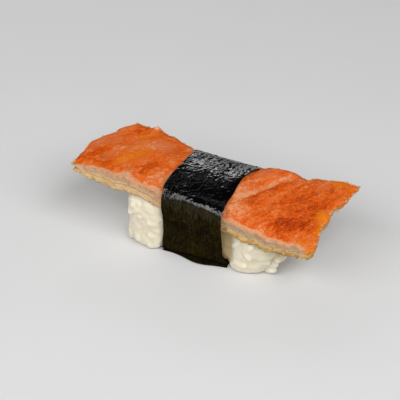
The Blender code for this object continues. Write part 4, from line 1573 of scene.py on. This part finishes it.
@dataclass
class RiceBlock:
    """The block of pressed rice: a core and the grains that cover it."""

    belt: Belt
    strip: SalmonStrip
    # The block.
    centre: Pair = (-0.25, -1.0)
    yaw: float = math.radians(4.6)
    half_length: float = 26.4
    half_width: float = 12.7
    waist: float = 3.0
    waist_edge: Pair = (-0.3, 3.2)
    squareness: float = 4.8
    sharp_corner: float = 3.0
    end_skew: float = 0.13
    foot: float = 1.75
    headroom: float = 0.75
    taper: float = 0.06
    # How its ends lean and wave.
    end_lean: float = 3.2
    lean_xs: Pair = (11.0, 23.0)
    lean_ys: Pair = (0.0, -8.0)
    lean_zs: Pair = (1.5, 8.5)
    wave_zs: Row = (1.6, 4.7, 8.0, 14.2, 19.0)
    wave_xs: Row = (0.0, 0.0, 0.9, -0.9, 1.9)
    wave_stretch: Pair = (-14.0, -22.0)
    # A grain.
    grain_length: float = 5.4
    grain_width: float = 2.7
    grain_depth: float = 2.5
    size_spread: float = 0.12
    full_power: float = 2.6
    bends: Pair = (-0.12, 0.22)
    dents: float = 0.05
    # How the grains lie on the sides. A coat holds its depth and the pitch of its rows.
    pitch: float = 3.4
    coats: tuple[Pair, ...] = ((1.45, 2.0), (0.94, 2.2))
    outline_steps: int = 480
    first_row: float = 1.4
    full_height: float = 21.0
    overfill: float = 1.12
    stagger: float = 0.5
    slide_spread: float = 0.45
    height_spread: float = 0.5
    depth_spread: float = 0.08
    tilt: float = 34.0
    foot_tilt: float = 8.0
    yaw_spread: float = 0.09
    spin: float = 0.4
    # The room that they keep.
    clearance: float = 0.3
    belt_room: Pair = (-11.7, 11.0)
    belt_floor: float = 1.2
    hidden_reach: float = 2.5
    table_gap: float = 0.06
    # The grains beneath, and the loose ones at the foot, each with its x, y, z and turn.
    sole: tuple[int, int] = (10, 12)
    sole_reach: float = 0.88
    sole_height: float = 1.35
    loose: Rows = (
        (25.3, -8.2, 1.5, -0.15),
        (25.8, -7.8, 3.4, 0.1),
        (28.3, -6.3, 6.2, 1.2),
        (26.9, -6.4, 5.2, 0.4),
        (27.2, -6.0, 7.6, 0.9),
        (-22.8, -11.6, 1.6, 0.5),
    )
    seed: int = 7
    # The core, and how all is stuck together.
    core_inset: float = 0.004
    core_sides: int = 180
    core_rings: int = 17
    voxel: float = 0.3

    def plan(self, along: Array, across: Array, reach: Value) -> Array:
        """Points of the block's plan, as it stands.

        Args:
            along: The direction's part along the block.
            across: Its part across the block.
            reach: The share of the way out to the outline.

        Returns:
            Rows of x and y.
        """
        corner = self.sharp_corner * ease(along, 0.0, 0.6) * ease(across, 0.0, -0.6)
        power = self.squareness + corner
        norm = (np.abs(along) ** power + np.abs(across) ** power) ** (1 / power) + 1e-9
        skew = 1 - self.end_skew * ease(along, 0.0, 0.7) * ease(across / norm, 0.3, -1.0)
        x = self.half_length * reach * skew * along / norm
        clear = ease(self.belt.outside(x + self.centre[0]), *self.waist_edge)
        half = self.half_width - self.waist * (1 - clear)
        y = half * reach * across / norm
        c, s = math.cos(self.yaw), math.sin(self.yaw)
        return np.stack([self.centre[0] + x * c - y * s, self.centre[1] + x * s + y * c], axis=-1)

    def reach_at(self, share: Value) -> Array:
        """How full the plan is at this share of the block's height."""
        return 1 - self.taper * np.clip(2 * share - 1, -0.6, 1.0) ** 3

    def lean(self, x: Value, y: Value, z: Value) -> Array:
        """How far the front right end leans out over its foot, and the left end waves.

        Args:
            x: Where along the block.
            y: Where across it.
            z: The height above the table.

        Returns:
            How far to move in x.
        """
        right = self.end_lean * ease(z, *self.lean_zs) * ease(x, *self.lean_xs)
        right = right * ease(y, *self.lean_ys)
        return right + np.interp(z, self.wave_zs, self.wave_xs) * ease(x, *self.wave_stretch)

    def roof(self, x: Array, y: Array) -> Array:
        """The height up to which the block is filled."""
        return self.strip.underside(x, y) - self.headroom

    def ring(self, turns: Array, share: float, reach: float) -> Array:
        """A ring of the core's points.

        Args:
            turns: The points' directions.
            share: The share of the block's height at which it lies.
            reach: The share of the way out to the core's side.

        Returns:
            The points, one a row.
        """
        full = reach * (self.reach_at(share) - self.core_inset)
        x, y = self.plan(np.cos(turns), np.sin(turns), full).T
        z = blend(self.foot, self.roof(x, y), share)
        return np.column_stack([x + self.lean(x, y, z), y, z])

    def core(self) -> Surface:
        """The core, which shows only between the grains.

        Returns:
            Its surface.
        """
        turns = np.linspace(0, math.tau, self.core_sides + 1)[:-1]
        inward = np.linspace(0.9, 0.1, 9)
        path = [(0.0, reach) for reach in inward[::-1]]
        path += [(share, 1.0) for share in np.linspace(0, 1, self.core_rings)]
        path += [(1.0, reach) for reach in inward]
        points = np.concatenate([self.ring(turns, share, reach) for share, reach in path])
        count = len(turns)
        seam = np.arange(len(path) - 1) * count
        closing = np.stack([seam + count - 1, seam, seam + count, seam + 2 * count - 1], axis=-1)
        last = len(points) - count
        ends = [span_faces(count)[:, ::-1], last + span_faces(count)]
        quads = np.concatenate([grid_faces(len(path), count), closing, *ends])
        faces = np.concatenate([quads[:, [0, 1, 2]], quads[:, [0, 2, 3]]])
        return Surface(points, faces, {"tone": np.full(len(points), 0.9)})

    def grain(self, rng: random.Random) -> Array:
        """The points of one swollen grain with its long axis on Z, on a unit ball's layout.

        Args:
            rng: The source of its own shape.

        Returns:
            The points, in millimetres.
        """
        ball = GRAIN_BALL.points
        size = 1 + self.size_spread * rng.uniform(-1, 1)
        x, y, z = ball.T
        blunt = np.sqrt(np.clip(1 - np.abs(z) ** self.full_power, 0, 1))
        full = blunt / np.sqrt(np.clip(1 - z**2, 1e-6, 1))
        full = np.where(np.abs(z) > 0.999, 0.0, full)
        bend = rng.uniform(*self.bends) * (1 - z**2)
        half = (self.grain_width / 2, self.grain_depth / 2, self.grain_length / 2)
        wide = x * full * half[0] + bend * half[0]
        shape = np.column_stack([wide, y * full * half[1], z * half[2]]) * size
        return shape * (1 + self.dents * rough(shape + 20 * rng.random(), 1.6))[:, None]

    def place(
        self, rng: random.Random, centre: Array, axis: Array, normal: Array
    ) -> list[Surface]:
        """One grain laid flat against a surface.

        Args:
            rng: The source of its own shape.
            centre: Its centre.
            axis: Its long axis, of any length.
            normal: The surface's normal, square to the axis or not.

        Returns:
            The grain alone in a list, or nothing where it has no room.
        """
        axis = axis / np.linalg.norm(axis)
        normal = normal - axis * float(normal @ axis)
        normal /= np.linalg.norm(normal)
        side = np.cross(axis, normal)
        spin = rng.uniform(-self.spin, self.spin)
        turned = side * math.cos(spin) + normal * math.sin(spin)
        frame_rows = np.stack([turned, np.cross(axis, turned), axis])
        points = self.grain(rng) @ frame_rows + centre
        points[:, 2] += max(0.0, self.table_gap - points[:, 2].min())
        roof = self.strip.underside(points[::9, 0], points[::9, 1]).min() - self.clearance
        if points[:, 2].max() > roof:
            points[:, 2] -= points[:, 2].max() - roof
            if points[:, 2].min() < 0.05:
                return []
        if self.belt.outside(centre[0]) < -self.hidden_reach:
            return []
        edge = float(self.belt.edge(0.0, centre[1]))
        if centre[0] < self.belt.left:
            points[:, 0] -= max(0.0, points[:, 0].max() - edge + 0.1)
        held = (points[:, 0] > edge - 0.2) & (points[:, 0] < self.belt.right)
        if held.any():
            front, back = self.belt_room
            points[:, 2] += max(0.0, self.belt_floor - points[held, 2].min())
            held_ys = points[held, 1]
            points[:, 1] += max(0.0, front - held_ys.min()) - max(0.0, held_ys.max() - back)
        tone = np.full(len(points), rng.random())
        return [Surface(points, GRAIN_BALL.faces, {"tone": tone})]

    def wall_grains(self, rng: random.Random) -> list[Surface]:
        """Rows of grains round the block's sides, an inner coat and an outer one.

        Args:
            rng: The source of their places.

        Returns:
            The grains.
        """
        turns = np.linspace(0, math.tau, self.outline_steps + 1)
        outline = self.plan(np.cos(turns), np.sin(turns), 1.0)
        count = round(np.linalg.norm(np.diff(outline, axis=0), axis=1).sum() / self.pitch)
        stops = evenly(outline, count)[:-1]
        ahead = np.roll(stops, -1, axis=0) - np.roll(stops, 1, axis=0)
        ahead /= np.linalg.norm(ahead, axis=1, keepdims=True)
        grains = []
        for sink, row_pitch in self.coats:
            for row in range(math.ceil(self.full_height / row_pitch)):
                for (x, y), (dx, dy) in zip(stops, ahead):
                    forward, normal = np.array((dx, dy, 0.0)), np.array((dy, -dx, 0.0))
                    slide = self.stagger * (row % 2) + self.slide_spread * rng.uniform(-1, 1)
                    height = self.first_row + row * row_pitch
                    height += self.height_spread * rng.uniform(-1, 1)
                    roof = float(self.roof(np.array(x), np.array(y)))
                    share = (height - self.foot) / (roof - self.foot)
                    if share > self.overfill:
                        continue
                    drawn = float(1 - self.reach_at(min(1.0, max(0.0, share)))) * self.half_width
                    depth = sink + drawn + self.depth_spread * rng.uniform(-1, 1)
                    centre = np.array((x, y, height)) + forward * (slide * self.pitch)
                    centre -= normal * depth
                    centre[0] += float(self.lean(*centre))
                    tilt = math.radians(rng.gauss(0, self.tilt if row else self.foot_tilt))
                    upward = np.array((0, 0, math.sin(tilt)))
                    outward = normal * rng.gauss(0, self.yaw_spread)
                    axis = forward * math.cos(tilt) + upward + outward
                    grains += self.place(rng, centre, axis, normal)
        return grains

    def underside_grains(self, rng: random.Random) -> list[Surface]:
        """Grains that lie flat under the block.

        Args:
            rng: The source of their places.

        Returns:
            The grains.
        """
        grains = []
        rows, columns = self.sole
        for row, column in itertools.product(range(rows), range(columns)):
            along = 2 * (column + (0.25, 0.75)[row % 2]) / columns - 1
            across = 2 * (row + 0.5) / rows - 1
            out = max(abs(along), abs(across)) * self.sole_reach
            x, y = self.plan(np.array(along), np.array(across), out)
            turn = rng.gauss(0, 0.6)
            axis = np.array((math.cos(turn), math.sin(turn), 0.0))
            centre = np.array((x, y, self.sole_height + 0.25 * rng.random()))
            grains += self.place(rng, centre, axis, -UP)
        return grains

    def loose_grains(self, rng: random.Random) -> list[Surface]:
        """The few grains that stand out at the block's foot.

        Args:
            rng: The source of their shapes.

        Returns:
            The grains.
        """
        grains = []
        for x, y, z, turn in self.loose:
            axis = np.array((math.cos(turn), math.sin(turn), 0.25))
            grains += self.place(rng, np.array((x, y, z)), axis, UP)
        return grains

    def build_grains(self) -> bpy.types.Object:
        """Builds and dresses all the grains as one piece.

        Returns:
            The piece.
        """
        rng = random.Random(self.seed)
        grains = self.wall_grains(rng) + self.underside_grains(rng) + self.loose_grains(rng)
        LOG.info("rice grains: %d, triangles: %d", len(grains), len(grains) * len(GRAIN_BALL.faces))
        piece = joined([self.core(), *grains]).make("rice_grains", CookedRice().material())
        remesh = piece.modifiers.new("stuck_together", "REMESH")
        remesh.mode = "VOXEL"
        remesh.voxel_size = self.voxel * MM
        remesh.use_smooth_shade = True
        smooth = piece.modifiers.new("softened", "SMOOTH")
        smooth.factor = 0.5
        smooth.iterations = 3
        return piece


@dataclass(frozen=True)
class Softbox:
    """A rectangular light: its angles in degrees, its sizes in metres, its power in watts."""

    name: str
    azimuth: float
    elevation: float
    distance: float
    width: float
    height: float
    power: float


@dataclass
class Studio:
    """The floor, the lights and the camera."""

    azimuth: float = 28.0
    elevation: float = 35.0
    distance: float = 470.0
    target: Triple = (0.0, -9.0, 21.15)
    lens: float = 131.13
    room: Colour = (0.016, 0.016, 0.016)
    lit_point: Triple = (0.0, 0.0, 0.015)
    softboxes: tuple[Softbox, ...] = (
        Softbox("key", -10.0, 41.0, 0.9, 1.4, 0.5, 7.2),
        Softbox("side", 68.0, 48.0, 0.9, 0.7, 0.6, 5.6),
        Softbox("left", -100.0, 45.0, 0.9, 0.5, 0.5, 0.3),
        Softbox("ceiling", 208.0, 50.0, 0.9, 0.5, 0.1, 0.055),
        Softbox("glow", 208.0, 29.0, 0.8, 0.26, 0.12, 0.3),
        Softbox("back", 224.0, 17.0, 0.8, 0.76, 0.56, 1.05),
    )
    floor_reaches: Row = (1.0, 200.0, 2500.0)
    floor_sides: int = 96

    @staticmethod
    def put(
        name: str, data: bpy.types.ID, aim: Triple, target: Vector
    ) -> bpy.types.Object:
        """Puts a light or a camera into the scene, looking at the target.

        Args:
            name: Its name.
            data: The light or the camera.
            aim: Its azimuth and elevation in degrees and its distance in metres.
            target: What it looks at.

        Returns:
            Its object.
        """
        thing = bpy.data.objects.new(name, data)
        bpy.context.scene.collection.objects.link(thing)
        azimuth, elevation = math.radians(aim[0]), math.radians(aim[1])
        level = math.cos(elevation)
        away = Vector((math.sin(azimuth) * level, -math.cos(azimuth) * level, math.sin(elevation)))
        facing = away.to_track_quat("Z", "Y").to_matrix().to_4x4()
        thing.matrix_world = Matrix.Translation(target + away * aim[2]) @ facing
        return thing

    def build_camera(self) -> None:
        """Places the camera."""
        data = bpy.data.cameras.new("camera")
        data.lens = self.lens
        data.clip_start = 0.01
        target = Vector((np.array(self.target) - CENTRE) * MM)
        aim = (self.azimuth, self.elevation, self.distance * MM)
        bpy.context.scene.camera = self.put("camera", data, aim, target)

    def add_light(self, box: Softbox) -> None:
        """Adds a softbox.

        Args:
            box: Its sizes and its place.
        """
        data = bpy.data.lights.new(box.name, "AREA")
        data.shape = "RECTANGLE"
        data.size, data.size_y = box.width, box.height
        data.energy = box.power
        self.put(box.name, data, (box.azimuth, box.elevation, box.distance), Vector(self.lit_point))

    def build_world(self) -> None:
        """Fills the room with a dim even light."""
        world = bpy.data.worlds.new("studio")
        world.use_nodes = True
        world.node_tree.nodes["Background"].inputs["Color"].default_value = (*self.room, 1.0)
        bpy.context.scene.world = world

    def build_floor(self) -> None:
        """Lays the floor."""
        count = self.floor_sides
        turns = np.linspace(0, math.tau, count + 1)[:-1]
        circle = flat_points(np.cos(turns), np.sin(turns))
        points = np.concatenate([circle * reach for reach in self.floor_reaches])
        ring, step = np.divmod(np.arange(count * (len(self.floor_reaches) - 1)), count)
        a, b = ring * count + step, ring * count + (step + 1) % count
        faces = np.concatenate([np.stack([a, a + count, b + count, b], axis=-1), span_faces(count)])
        floor = Surface(points + CENTRE, faces, {}).make("floor", PaleFloor().material())

    def build(self) -> None:
        """Builds the whole studio."""
        self.build_camera()
        self.build_world()
        self.build_floor()
        for box in self.softboxes:
            self.add_light(box)
        settings = bpy.context.scene.view_settings
        settings.view_transform = "Standard"
        settings.look = "None"


def keep(piece: bpy.types.Object, slot: str, *nodes: str) -> None:
    """Binds a piece to the frame and reports it.

    Args:
        piece: The piece.
        slot: The material slot that its finish belongs to.
        *nodes: The nodes that it stands for.
    """
    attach(piece, BODY)
    if nodes:
        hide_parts(*nodes)
    LOG.info("%s: %d faces, slot %s", piece.name, len(piece.data.polygons), slot)


def main() -> None:
    """Builds every piece."""
    logging.basicConfig(level=logging.INFO, format="%(message)s")
    belt = Belt()
    strip = SalmonStrip(belt)
    keep(strip.build_flesh(), "salmon_flesh", "salmon_flesh")
    keep(strip.build_skin(), "salmon_skin", "salmon_skin")
    keep(strip.build_crumbs(), "salmon_skin")
    keep(SeaweedBelt(belt, strip).build(), "nori", "nori_belt")
    rice = RiceBlock(belt, strip)
    keep(rice.build_grains(), "rice", "rice")
    Studio().build()


if __name__ == "__main__":
    main()
